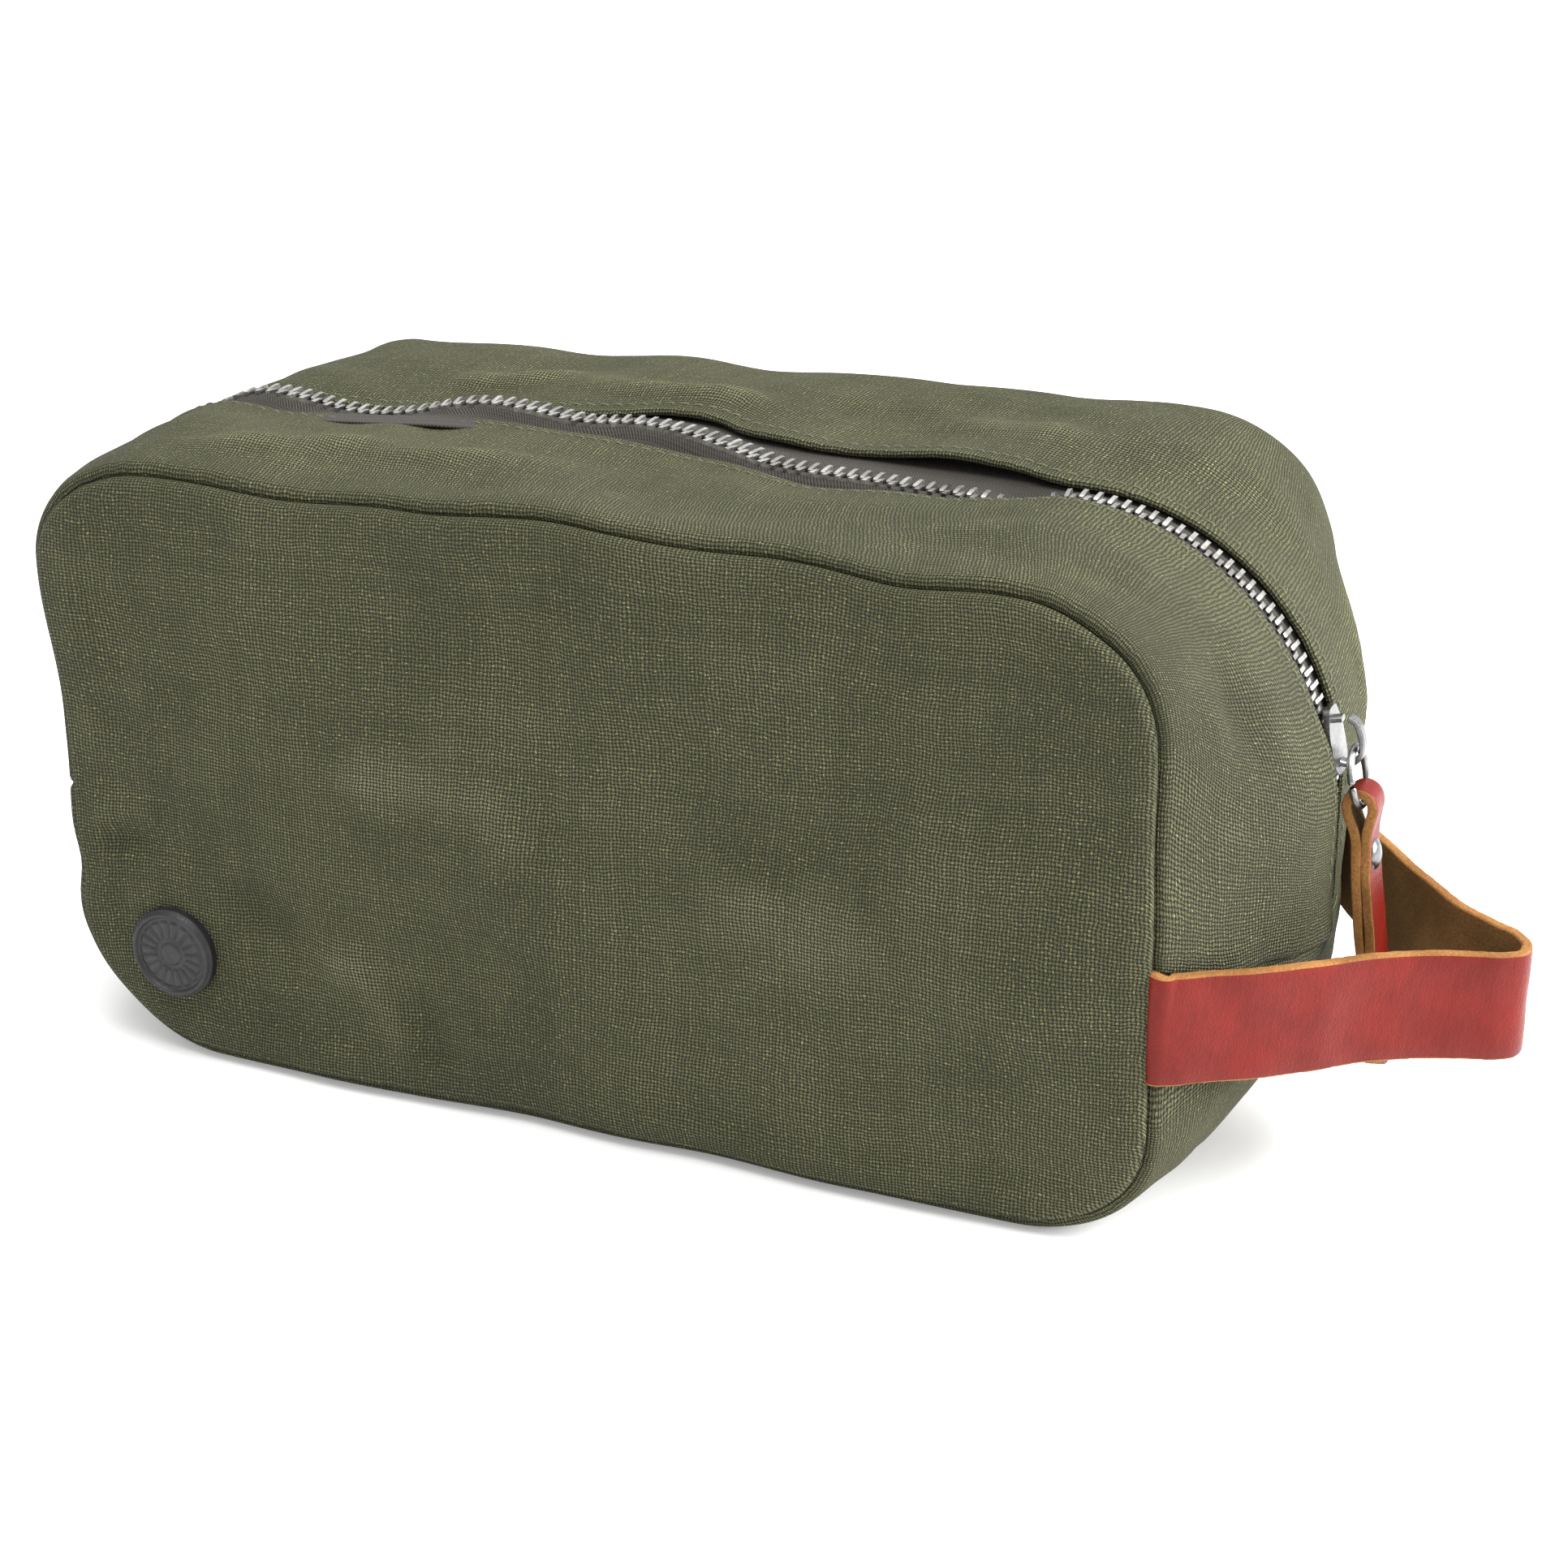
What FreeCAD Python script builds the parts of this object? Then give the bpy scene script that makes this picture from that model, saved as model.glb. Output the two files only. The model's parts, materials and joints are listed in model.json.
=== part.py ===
"""Canvas toiletry bag with a metal zip, a leather wrist strap and a leather zip pull.

The bag stands on its flat bottom. The origin is at the middle of the base, +X points to the
end that carries the strap and -Y to the front panel. Lengths are in millimetres.
"""
import FreeCAD, Part
import math
import os
import Sketcher

V = FreeCAD.Vector
ACROSS = V(0, 1, 0)

DIMENSIONS = {
    # the bag's body
    "seam_right": 126.5,
    "seam_left": 125.5,
    "bulge_right": 143.5,
    "bulge_left": 140.0,
    "bag_depth": 125.2,
    "bag_top": 137.0,
    "seam_radius_top_right": 30.0,
    "seam_radius_bottom_right": 30.0,
    "seam_radius_top_left": 24.0,
    "seam_radius_bottom_left": 32.0,
    "bulge_radius_top_right": 60.0,
    "bulge_radius_bottom_right": 48.0,
    "bulge_radius_top_left": 34.0,
    "bulge_radius_bottom_left": 45.0,
    "canvas_thickness": 1.2,
    "lining_thickness": 0.4,
    "end_seam_height": 55.0,
    "sewing_gap": 0.05,
    # the mouth and the zip
    "mouth_half_width": 6.0,
    "tape_inner_edge": 1.6,
    "tape_outer_edge": 15.0,
    "tape_thickness": 0.5,
    "tape_depth": 1.3,
    "tooth_pitch": 3.0,
    "tooth_width": 1.35,
    "tooth_reach": 4.3,
    "tooth_lap": 0.9,
    "tooth_height": 2.6,
    "zip_end_height": 60.5,
    "stop_length": 2.6,
    "slider_angle": 13.5,
    "slider_half_length": 7.0,
    "slider_half_width": 5.4,
    "slider_plate": 1.3,
    "slider_outer_face": 0.2,
    "slider_inner_face": 3.5,
    "slider_lip": 0.8,
    "crown_half_length": 5.0,
    "crown_reach": 7.0,
    "crown_band": 1.4,
    "crown_width": 2.6,
    # the pull
    "ring_radius": 6.0,
    "ring_wire_radius": 0.8,
    "ring_tilt": 13.0,
    "tab_tilt": 7.2,
    "tab_length": 60.0,
    "tab_width": 11.6,
    "tab_neck_width": 7.2,
    "leather_thickness": 2.0,
    "fold_radius": 2.6,
    "rivet_drop": 10.8,
    "rivet_shank_radius": 1.3,
    "rivet_head_radius": 3.3,
    "rivet_head_height": 1.2,
    # the wrist strap
    "strap_width": 23.5,
    "strap_thickness": 2.5,
    "strap_reach": 185.2,
    "strap_bend_radius": 5.0,
    "strap_end_half_spread": 60.4,
    "strap_height": 49.8,
    "strap_droop": 9.26,
    # the badge
    "badge_across": -99.6,
    "badge_height": 25.9,
    "badge_radius": 10.5,
    "badge_thickness": 3.0,
    "badge_shank_radius": 1.5,
    "backing_radius": 7.0,
    "backing_thickness": 0.8,
    # the seam binding
    "binding_inner": 9.0,
    "binding_outer": 2.5,
    "binding_thickness": 1.6,
}

doc = FreeCAD.newDocument("toiletry_bag")
sheet = doc.addObject("Spreadsheet::Sheet", "sizes")
for row, (alias, value) in enumerate(DIMENSIONS.items(), start=1):
    sheet.set("A%d" % row, alias)
    sheet.set("B%d" % row, str(value))
    sheet.setAlias("B%d" % row, alias)
doc.recompute()

NODES = []


def size(alias):
    """One driving dimension, read from the spreadsheet."""
    return float(sheet.get(alias))


def keep(obj, node):
    """Label an object with its node name and put it on the list of sub-parts."""
    obj.Label = node
    NODES.append(obj)
    return obj


def feature(node, shape, placement=None):
    """A sub-part whose shape comes from Part's functions."""
    obj = doc.addObject("Part::Feature", node)
    obj.Shape = shape
    if placement is not None:
        obj.Placement = placement
    return keep(obj, node)


def origin_plane(body, role):
    """One of a body's own origin planes."""
    return next(f for f in body.Origin.OriginFeatures if f.Role == role)


def new_sketch(body, name, role, offset=0.0):
    """A sketch on one of the body's origin planes, lifted along the plane's normal."""
    sketch = body.newObject("Sketcher::SketchObject", name)
    sketch.AttachmentSupport = [(origin_plane(body, role), "")]
    sketch.MapMode = "FlatFace"
    sketch.AttachmentOffset = FreeCAD.Placement(V(0, 0, offset), FreeCAD.Rotation())
    return sketch


def pad(body, name, sketch, length, midplane=False, reverse=False):
    """A pad whose length follows the spreadsheet expression that is given."""
    made = body.newObject("PartDesign::Pad", name)
    made.Profile = sketch
    made.Midplane = midplane
    made.Reversed = reverse
    made.setExpression("Length", length)
    sketch.Visibility = False
    return made


def closed_polygon(sketch, points):
    """Straight edges through the points, joined end to end, with each corner held in place."""
    count = len(points)
    first = sketch.GeometryCount
    for index in range(count):
        start = V(*points[index], 0)
        end = V(*points[(index + 1) % count], 0)
        sketch.addGeometry(Part.LineSegment(start, end), False)
    for index in range(count):
        here = first + index
        after = first + (index + 1) % count
        sketch.addConstraint(Sketcher.Constraint("Coincident", here, 2, after, 1))
        sketch.addConstraint(Sketcher.Constraint("DistanceX", -1, 1, here, 1, points[index][0]))
        sketch.addConstraint(Sketcher.Constraint("DistanceY", -1, 1, here, 1, points[index][1]))


# ---------------------------------------------------------------- outlines of the bag


class Outline:
    """A rectangle with four rounded corners in the XZ plane, drawn inwards by an inset."""

    def __init__(self, right, left, top, radii, inset):
        self.right = right - inset
        self.left = -left + inset
        self.top = top - inset
        self.base = inset
        self.top_right = radii[0] - inset
        self.bottom_right = radii[1] - inset
        self.bottom_left = radii[2] - inset
        self.top_left = radii[3] - inset

    def corners(self):
        """Centre, radius and start angle of each corner, anticlockwise from the bottom right."""
        return [
            (self.right - self.bottom_right, self.base + self.bottom_right, self.bottom_right, -90),
            (self.right - self.top_right, self.top - self.top_right, self.top_right, 0),
            (self.left + self.top_left, self.top - self.top_left, self.top_left, 90),
            (self.left + self.bottom_left, self.base + self.bottom_left, self.bottom_left, 180),
        ]

    def wire(self, depth):
        """The outline as a closed wire at one place along Y."""

        def at(centre_x, centre_z, radius, angle):
            turn = math.radians(angle)
            return V(centre_x + radius * math.cos(turn), depth, centre_z + radius * math.sin(turn))

        corners = self.corners()
        edges = []
        for index, (x, z, radius, angle) in enumerate(corners):
            start = at(x, z, radius, angle)
            middle = at(x, z, radius, angle + 45)
            end = at(x, z, radius, angle + 90)
            edges.append(Part.Arc(start, middle, end).toShape())
            next_x, next_z, next_radius, next_angle = corners[(index + 1) % 4]
            edges.append(Part.makeLine(end, at(next_x, next_z, next_radius, next_angle)))
        return Part.Wire(edges)


def seam_outline(inset=0.0):
    """The edge of the front and back panels."""
    radii = [
        size("seam_radius_top_right"),
        size("seam_radius_bottom_right"),
        size("seam_radius_bottom_left"),
        size("seam_radius_top_left"),
    ]
    return Outline(size("seam_right"), size("seam_left"), size("bag_top"), radii, inset)


def bulge_outline(inset=0.0):
    """The fuller outline half way between the panels, where the ends bulge."""
    radii = [
        size("bulge_radius_top_right"),
        size("bulge_radius_bottom_right"),
        size("bulge_radius_bottom_left"),
        size("bulge_radius_top_left"),
    ]
    return Outline(size("bulge_right"), size("bulge_left"), size("bag_top"), radii, inset)


def envelope(inset, half_depth):
    """The bag's filled shape, drawn inwards by an inset, between the two panels."""
    sections = [
        seam_outline(inset).wire(-half_depth),
        bulge_outline(inset).wire(0.0),
        seam_outline(inset).wire(half_depth),
    ]
    return Part.makeLoft(sections, True, False)


def shell(inset, thickness, half_depth):
    """A band of cloth of one thickness that runs round the bag between the panels."""
    outside = envelope(inset, half_depth)
    inside = envelope(inset + thickness, half_depth)
    return outside.cut(inside)


def slab(low, high):
    """A box between two corners."""
    return Part.makeBox(high[0] - low[0], high[1] - low[1], high[2] - low[2], V(*low))


FAR = 300.0
HALF_DEPTH = size("bag_depth") / 2
CANVAS = size("canvas_thickness")
PANEL_INSIDE = HALF_DEPTH - CANVAS
CANVAS_BAND_HALF = PANEL_INSIDE - size("sewing_gap")
LINING_BAND_HALF = PANEL_INSIDE - 2 * size("sewing_gap") - size("lining_thickness")
LINING_INSET = size("tape_depth") + size("tape_thickness") + 2 * size("sewing_gap")
END_SEAM = size("end_seam_height")
MOUTH = size("mouth_half_width")


def largest(shape):
    """The biggest solid of a shape."""
    return max(shape.Solids, key=lambda solid: solid.Volume)


def three_bands(band, half_depth):
    """Split a band into its front, back and bottom pieces."""
    gap = size("sewing_gap")
    front = band.common(slab((-FAR, -half_depth, END_SEAM + gap), (FAR, -MOUTH, FAR)))
    back = band.common(slab((-FAR, MOUTH, END_SEAM + gap), (FAR, half_depth, FAR)))
    bottom = band.common(slab((-FAR, -half_depth, 0.0), (FAR, half_depth, END_SEAM)))
    return largest(front), largest(back), largest(bottom)


def make_gussets():
    """The canvas bands: one each side of the mouth, and one under the bag."""
    band = shell(0.0, CANVAS, CANVAS_BAND_HALF)
    front, back, bottom = three_bands(band, CANVAS_BAND_HALF)
    feature("top_gusset_front", front)
    feature("top_gusset_back", back)
    floor_cut = slab((-FAR, -FAR, 0.0), (FAR, FAR, FAR))
    feature("bottom_gusset", largest(flat_based(bottom).common(floor_cut)))


def flat_based(bottom):
    """The bottom band with a true flat underside for the bag to rest on."""
    outline = seam_outline()
    low_x = outline.left + outline.bottom_left
    high_x = outline.right - outline.bottom_right
    sole = slab((low_x, -CANVAS_BAND_HALF, 0.0), (high_x, CANVAS_BAND_HALF, CANVAS))
    rest = bottom.cut(slab((low_x, -FAR, -CANVAS), (high_x, FAR, CANVAS * 2)))
    return rest.fuse(sole)


def make_linings():
    """The thin cloth inside the canvas bands, behind the zip tape."""
    band = shell(LINING_INSET, size("lining_thickness"), LINING_BAND_HALF)
    front, back, bottom = three_bands(band, LINING_BAND_HALF)
    feature("lining_top_front", front)
    feature("lining_top_back", back)
    feature("lining_bottom", bottom)


def make_zip_tapes():
    """The two woven tapes, sewn between the canvas and the lining along the mouth."""
    band = shell(size("tape_depth"), size("tape_thickness"), CANVAS_BAND_HALF)
    inner = size("tape_inner_edge")
    outer = size("tape_outer_edge")
    floor = END_SEAM + size("sewing_gap")
    front = band.common(slab((-FAR, -outer, floor), (FAR, -inner, FAR)))
    back = band.common(slab((-FAR, inner, floor), (FAR, outer, FAR)))
    feature("zip_tape_front", largest(front))
    feature("zip_tape_back", largest(back))


# ---------------------------------------------------------------- flat panels


def panel_outline_sketch(body, inset, hole):
    """A fully constrained rounded outline on the XZ plane, with an optional round hole."""
    sketch = new_sketch(body, "outline", "XZ_Plane")
    outline = seam_outline(inset)
    corners = outline.corners()
    for x, z, radius, angle in corners:
        circle = Part.Circle(V(x, z, 0), V(0, 0, 1), radius)
        start = math.radians(angle)
        sketch.addGeometry(Part.ArcOfCircle(circle, start, start + math.pi / 2), False)
    for index in range(4):
        x, z, radius, angle = corners[index]
        next_x, next_z, next_radius, next_angle = corners[(index + 1) % 4]
        out = math.radians(angle + 90)
        start = V(x + radius * math.cos(out), z + radius * math.sin(out), 0)
        end = V(next_x + next_radius * math.cos(out), next_z + next_radius * math.sin(out), 0)
        sketch.addGeometry(Part.LineSegment(start, end), False)
    for index in range(4):
        line = 4 + index
        sketch.addConstraint(Sketcher.Constraint("Tangent", index, 2, line, 1))
        sketch.addConstraint(Sketcher.Constraint("Tangent", line, 2, (index + 1) % 4, 1))
    sides = [("DistanceX", outline.right, "seam_right - %g", 4),
             ("DistanceY", outline.top, "bag_top - %g", 5),
             ("DistanceX", outline.left, "seam_left - %g", 6),
             ("DistanceY", outline.base, None, 7)]
    for kind, value, text, line in sides:
        direction = "Vertical" if kind == "DistanceX" else "Horizontal"
        sketch.addConstraint(Sketcher.Constraint(direction, line))
        placed = sketch.addConstraint(Sketcher.Constraint(kind, -1, 1, line, 1, value))
        if text is not None:
            sign = "-" if value < 0 else ""
            driven = text % inset
            sketch.setExpression("Constraints[%d]" % placed, "%s(<<sizes>>.%s)" % (sign, driven))
    names = ["bottom_right", "top_right", "top_left", "bottom_left"]
    for index, name in enumerate(names):
        radius = corners[index][2]
        held = sketch.addConstraint(Sketcher.Constraint("Radius", index, radius))
        rule = "<<sizes>>.seam_radius_%s - %g" % (name, inset)
        sketch.setExpression("Constraints[%d]" % held, rule)
    if hole:
        centre = V(size("badge_across"), size("badge_height"), 0)
        circle = Part.Circle(centre, V(0, 0, 1), size("badge_shank_radius") + 0.1)
        ring = sketch.addGeometry(circle, False)
        sketch.addConstraint(Sketcher.Constraint("DistanceX", -1, 1, ring, 3, centre.x))
        sketch.addConstraint(Sketcher.Constraint("DistanceY", -1, 1, ring, 3, centre.y))
        sketch.addConstraint(Sketcher.Constraint("Radius", ring, circle.Radius))
    return sketch


def make_panel(node, inset, thickness_alias, inner_face, hole=False):
    """A flat panel whose inner face stands at one place along Y and that grows outwards."""
    body = doc.addObject("PartDesign::Body", node)
    sketch = panel_outline_sketch(body, inset, hole)
    front = inner_face < 0
    pad(body, "sheet", sketch, "<<sizes>>.%s" % thickness_alias, reverse=not front)
    body.Placement = FreeCAD.Placement(V(0, inner_face, 0), FreeCAD.Rotation())
    return keep(body, node)


def make_panels():
    """Front and back canvas panels with their linings."""
    lining_inset = CANVAS + size("sewing_gap")
    lining_face = LINING_BAND_HALF + size("sewing_gap")
    make_panel("front_panel", 0.0, "canvas_thickness", -PANEL_INSIDE, hole=True)
    make_panel("back_panel", 0.0, "canvas_thickness", PANEL_INSIDE)
    make_panel("lining_front_panel", lining_inset, "lining_thickness", -lining_face, hole=True)
    make_panel("lining_back_panel", lining_inset, "lining_thickness", lining_face)


def make_seam_bindings():
    """The bias tape bound round the raw seam inside each panel."""
    outer = size("binding_outer")
    inner = size("binding_inner")
    thick = size("binding_thickness")
    for node, side in (("seam_binding_front", -1), ("seam_binding_back", 1)):
        start = side * LINING_BAND_HALF
        outlines = [seam_outline(outer).wire(start), seam_outline(inner).wire(start)]
        frame = Part.makeFace(outlines, "Part::FaceMakerBullseye")
        feature(node, frame.extrude(V(0, -side * thick, 0)))


# ---------------------------------------------------------------- the zip's chain


TAPE_MIDDLE = size("tape_depth") + size("tape_thickness") / 2
CHAIN = bulge_outline(TAPE_MIDDLE)
TURN_RIGHT = V(CHAIN.right - CHAIN.top_right, 0, CHAIN.top - CHAIN.top_right)
TURN_LEFT = V(CHAIN.left + CHAIN.top_left, 0, CHAIN.top - CHAIN.top_left)
RUN_RIGHT = TURN_RIGHT.z - size("zip_end_height")
RUN_TURN_RIGHT = CHAIN.top_right * math.pi / 2
RUN_TOP = TURN_RIGHT.x - TURN_LEFT.x
RUN_TURN_LEFT = CHAIN.top_left * math.pi / 2
RUN_LEFT = TURN_LEFT.z - size("zip_end_height")
CHAIN_LENGTH = RUN_RIGHT + RUN_TURN_RIGHT + RUN_TOP + RUN_TURN_LEFT + RUN_LEFT


def chain_point(run):
    """Place on the chain's middle line, and the angle of its outward normal, after a run from
    its right-hand end."""
    if run < RUN_RIGHT:
        return V(CHAIN.right, 0, size("zip_end_height") + run), 0.0
    run -= RUN_RIGHT
    if run < RUN_TURN_RIGHT:
        angle = math.degrees(run / CHAIN.top_right)
        return TURN_RIGHT + turned(CHAIN.top_right, angle), angle
    run -= RUN_TURN_RIGHT
    if run < RUN_TOP:
        return V(TURN_RIGHT.x - run, 0, CHAIN.top), 90.0
    run -= RUN_TOP
    if run < RUN_TURN_LEFT:
        angle = 90.0 + math.degrees(run / CHAIN.top_left)
        return TURN_LEFT + turned(CHAIN.top_left, angle), angle
    run -= RUN_TURN_LEFT
    return V(CHAIN.left, 0, TURN_LEFT.z - run), 180.0


def turned(radius, angle):
    """A vector in the XZ plane at an angle from +X."""
    return V(radius * math.cos(math.radians(angle)), 0, radius * math.sin(math.radians(angle)))


def on_chain(run):
    """Placement whose X points out of the bag and whose Z points along the chain."""
    point, angle = chain_point(run)
    return FreeCAD.Placement(point, FreeCAD.Rotation(ACROSS, -angle))


SLIDER_RUN = RUN_RIGHT + CHAIN.top_right * math.radians(size("slider_angle"))
OPENING_START = SLIDER_RUN + 3.0
OPENING_FULL = SLIDER_RUN - 5.5
OPENING_HALF = 2.1
OPENING_AT_STOP = 1.2


def row_shift(run):
    """How far each row of teeth stands aside from the closed chain at a place along it."""
    if run >= OPENING_START:
        return 0.0
    if run >= OPENING_FULL:
        part = (OPENING_START - run) / (OPENING_START - OPENING_FULL)
        return OPENING_HALF * part * part * (3 - 2 * part)
    part = (OPENING_FULL - run) / OPENING_FULL
    return OPENING_HALF + (OPENING_AT_STOP - OPENING_HALF) * part


def chain_block(run, low_y, high_y, length, height):
    """A small block on the chain, between two places across it."""
    block = Part.makeBox(height, high_y - low_y, length, V(-height / 2, low_y, -length / 2))
    block.Placement = on_chain(run)
    return block


def make_teeth():
    """Two rows of metal teeth. Their tips lap where the chain is closed."""
    pitch = size("tooth_pitch")
    stop = size("stop_length")
    count = int((CHAIN_LENGTH - 2 * stop - pitch) / pitch)
    for node, side, lead in (("zip_teeth_front", -1, 0.0), ("zip_teeth_back", 1, pitch / 2)):
        teeth = []
        for index in range(count):
            run = stop + pitch / 2 + lead + index * pitch
            near = row_shift(run) - size("tooth_lap")
            far = near + size("tooth_reach")
            low, high = (near, far) if side > 0 else (-far, -near)
            teeth.append(chain_block(run, low, high, size("tooth_width"), size("tooth_height")))
        feature(node, Part.makeCompound(teeth))


def make_stops():
    """The blocks that end the chain: one on each tape at the right, one across both at the left."""
    stop = size("stop_length")
    height = size("tooth_height") + 0.4
    near = OPENING_AT_STOP - 0.4
    far = near + size("tooth_reach") - 0.6
    feature("zip_top_stop_front", chain_block(stop / 2, -far, -near, stop, height))
    feature("zip_top_stop_back", chain_block(stop / 2, near, far, stop, height))
    across = size("tooth_reach") - size("tooth_lap") + 0.2
    last = CHAIN_LENGTH - stop / 2
    feature("zip_bottom_stop", chain_block(last, -across, across, stop, height))


# ---------------------------------------------------------------- slider, ring and pull tab


def slider_placement():
    """The slider's own frame: X out of the bag, Y across, Z up along the chain."""
    angle = size("slider_angle")
    point = TURN_RIGHT + turned(size("bulge_radius_top_right"), angle)
    return FreeCAD.Placement(point, FreeCAD.Rotation(ACROSS, -angle))


def make_slider():
    """Two plates joined by a wedge, with lips over the tapes and a tall crown for the ring."""
    body = doc.addObject("PartDesign::Body", "zip_slider")
    half = size("slider_half_length")
    wide = size("slider_half_width")
    corner = 1.6
    plate = [(-wide + corner, -half), (wide - corner, -half), (wide, -half + corner),
             (wide, half - 3 * corner), (wide - 2 * corner, half), (-wide + 2 * corner, half),
             (-wide, half - 3 * corner), (-wide, -half + corner)]
    outer = size("slider_outer_face")
    inner = size("slider_inner_face")
    thick = size("slider_plate")

    outer_sketch = new_sketch(body, "outer_plate_outline", "YZ_Plane", outer)
    closed_polygon(outer_sketch, plate)
    pad(body, "outer_plate", outer_sketch, "<<sizes>>.slider_plate")

    wedge_sketch = new_sketch(body, "wedge_outline", "YZ_Plane", outer)
    closed_polygon(wedge_sketch, [(0, -half), (0.8, -half + 2.0), (0, -2.6), (-0.8, -half + 2.0)])
    pad(body, "wedge", wedge_sketch,
        "<<sizes>>.slider_outer_face + <<sizes>>.slider_inner_face + 0.2", reverse=True)

    inner_sketch = new_sketch(body, "inner_plate_outline", "YZ_Plane", -inner)
    closed_polygon(inner_sketch, plate)
    pad(body, "inner_plate", inner_sketch, "<<sizes>>.slider_plate", reverse=True)

    lip_wide = 0.8
    lip_low = -0.5
    lip_high = half - 3 * corner
    for side in (-1, 1):
        edge = side * wide
        inside = side * (wide - lip_wide)
        rail = [(edge, lip_low), (edge, lip_high), (inside, lip_high), (inside, lip_low)]
        outer_lip = new_sketch(body, "outer_lip_outline", "YZ_Plane", outer)
        closed_polygon(outer_lip, rail)
        pad(body, "outer_lip", outer_lip, "<<sizes>>.slider_lip", reverse=True)
        inner_lip = new_sketch(body, "inner_lip_outline", "YZ_Plane", -inner)
        closed_polygon(inner_lip, rail)
        pad(body, "inner_lip", inner_lip, "<<sizes>>.slider_lip")

    reach = size("crown_reach")
    band = size("crown_band")
    long = size("crown_half_length")
    root = outer + thick / 2
    bend = 2.2
    crown = new_sketch(body, "crown_side", "XZ_Plane")
    closed_polygon(crown, [(root, -long), (reach - bend, -long), (reach, -long + bend),
                           (reach, long - bend), (reach - bend, long), (root, long)])
    closed_polygon(crown, [(outer + thick + 0.1, -long + band), (reach - band - 0.9, -long + band),
                           (reach - band, -long + band + 0.9), (reach - band, long - band - 0.9),
                           (reach - band - 0.9, long - band), (outer + thick + 0.1, long - band)])
    pad(body, "crown", crown, "<<sizes>>.crown_width", midplane=True)
    body.Placement = slider_placement()
    return keep(body, "zip_slider")


def ring_top():
    """The middle of the ring's wire where it hangs in the crown."""
    clear = 0.45
    low = -size("crown_half_length") + size("crown_band") + size("ring_wire_radius") + clear
    out = size("crown_reach") - size("crown_band") - size("ring_wire_radius") - 0.5
    return slider_placement().multVec(V(out, 0, low))


def leaning(length, tilt):
    """A vector that hangs down and leans towards +X by a tilt."""
    return V(length * math.sin(math.radians(tilt)), 0, -length * math.cos(math.radians(tilt)))


def make_ring():
    """One round wire ring through the crown."""
    ring = doc.addObject("Part::Torus", "pull_ring")
    ring.setExpression("Radius1", "<<sizes>>.ring_radius")
    ring.setExpression("Radius2", "<<sizes>>.ring_wire_radius")
    centre = ring_top() + leaning(size("ring_radius"), size("ring_tilt"))
    ring.Placement = FreeCAD.Placement(centre, FreeCAD.Rotation(ACROSS, 90 - size("ring_tilt")))
    return keep(ring, "pull_ring")


def tab_placement():
    """The tab's own frame: Z up the tab with its origin at the middle of the fold."""
    fold = ring_top() + leaning(2 * size("ring_radius"), size("ring_tilt"))
    return FreeCAD.Placement(fold, FreeCAD.Rotation(ACROSS, -size("tab_tilt")))


def fold_side(radius, pinch_half, pinch_drop):
    """Wire of the fold seen from its side: most of a circle drawn in to the pinched leaves."""
    drop = math.hypot(pinch_half, pinch_drop)
    lean = math.degrees(math.atan2(pinch_half, pinch_drop))
    touch = math.degrees(math.acos(radius / drop))
    angle = math.radians(-90 + lean + touch)
    right = V(radius * math.cos(angle), 0, radius * math.sin(angle))
    left = V(-right.x, 0, right.z)
    return right, left


def make_pull_tab():
    """A leather strip folded over the ring, pinched by a rivet, with a rounded end."""
    leather = size("leather_thickness")
    inside = size("fold_radius")
    outside = inside + leather
    neck = -7.0
    tip = -size("tab_length")
    right, left = fold_side(outside, leather, -neck)
    over = V(0, 0, outside)
    edges = [
        Part.Arc(right, over, left).toShape(),
        Part.makeLine(left, V(-leather, 0, neck)),
        Part.makeLine(V(-leather, 0, neck), V(-leather, 0, tip)),
        Part.makeLine(V(-leather, 0, tip), V(leather, 0, tip)),
        Part.makeLine(V(leather, 0, tip), V(leather, 0, neck)),
        Part.makeLine(V(leather, 0, neck), right),
    ]
    eye_right, eye_left = fold_side(inside, 0.0, -neck - 1.0)
    eye = [
        Part.Arc(eye_right, V(0, 0, inside), eye_left).toShape(),
        Part.makeLine(eye_left, V(0, 0, neck + 1.0)),
        Part.makeLine(V(0, 0, neck + 1.0), eye_right),
    ]
    side = Part.makeFace([Part.Wire(edges), Part.Wire(eye)], "Part::FaceMakerBullseye")
    wide = size("tab_width") / 2
    strip = side.extrude(V(0, 2 * wide, 0))
    strip.translate(V(0, -wide, 0))
    front = tab_front_outline(outside, wide, tip).extrude(V(4 * outside, 0, 0))
    front.translate(V(-2 * outside, 0, 0))
    shank = Part.makeCylinder(size("rivet_shank_radius") + 0.05, 4 * outside,
                              V(-2 * outside, 0, -size("rivet_drop")), V(1, 0, 0))
    shape = strip.common(front).cut(shank)
    feature("pull_tab", largest(shape), tab_placement())


def tab_front_outline(outside, wide, tip):
    """The tab's face outline: narrow over the ring, wider below, round at the end."""
    narrow = size("tab_neck_width") / 2
    shoulder = -14.0
    top = outside + 1.0
    points = [V(0, narrow, top), V(0, narrow, shoulder + 7), V(0, wide, shoulder),
              V(0, wide, tip + wide)]
    mirror = [V(0, -point.y, point.z) for point in points]
    edges = [Part.makeLine(points[0], points[1]), Part.makeLine(points[1], points[2]),
             Part.makeLine(points[2], points[3]),
             Part.Arc(points[3], V(0, 0, tip), mirror[3]).toShape(),
             Part.makeLine(mirror[3], mirror[2]), Part.makeLine(mirror[2], mirror[1]),
             Part.makeLine(mirror[1], mirror[0]), Part.makeLine(mirror[0], points[0])]
    return Part.Face(Part.Wire(edges))


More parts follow.
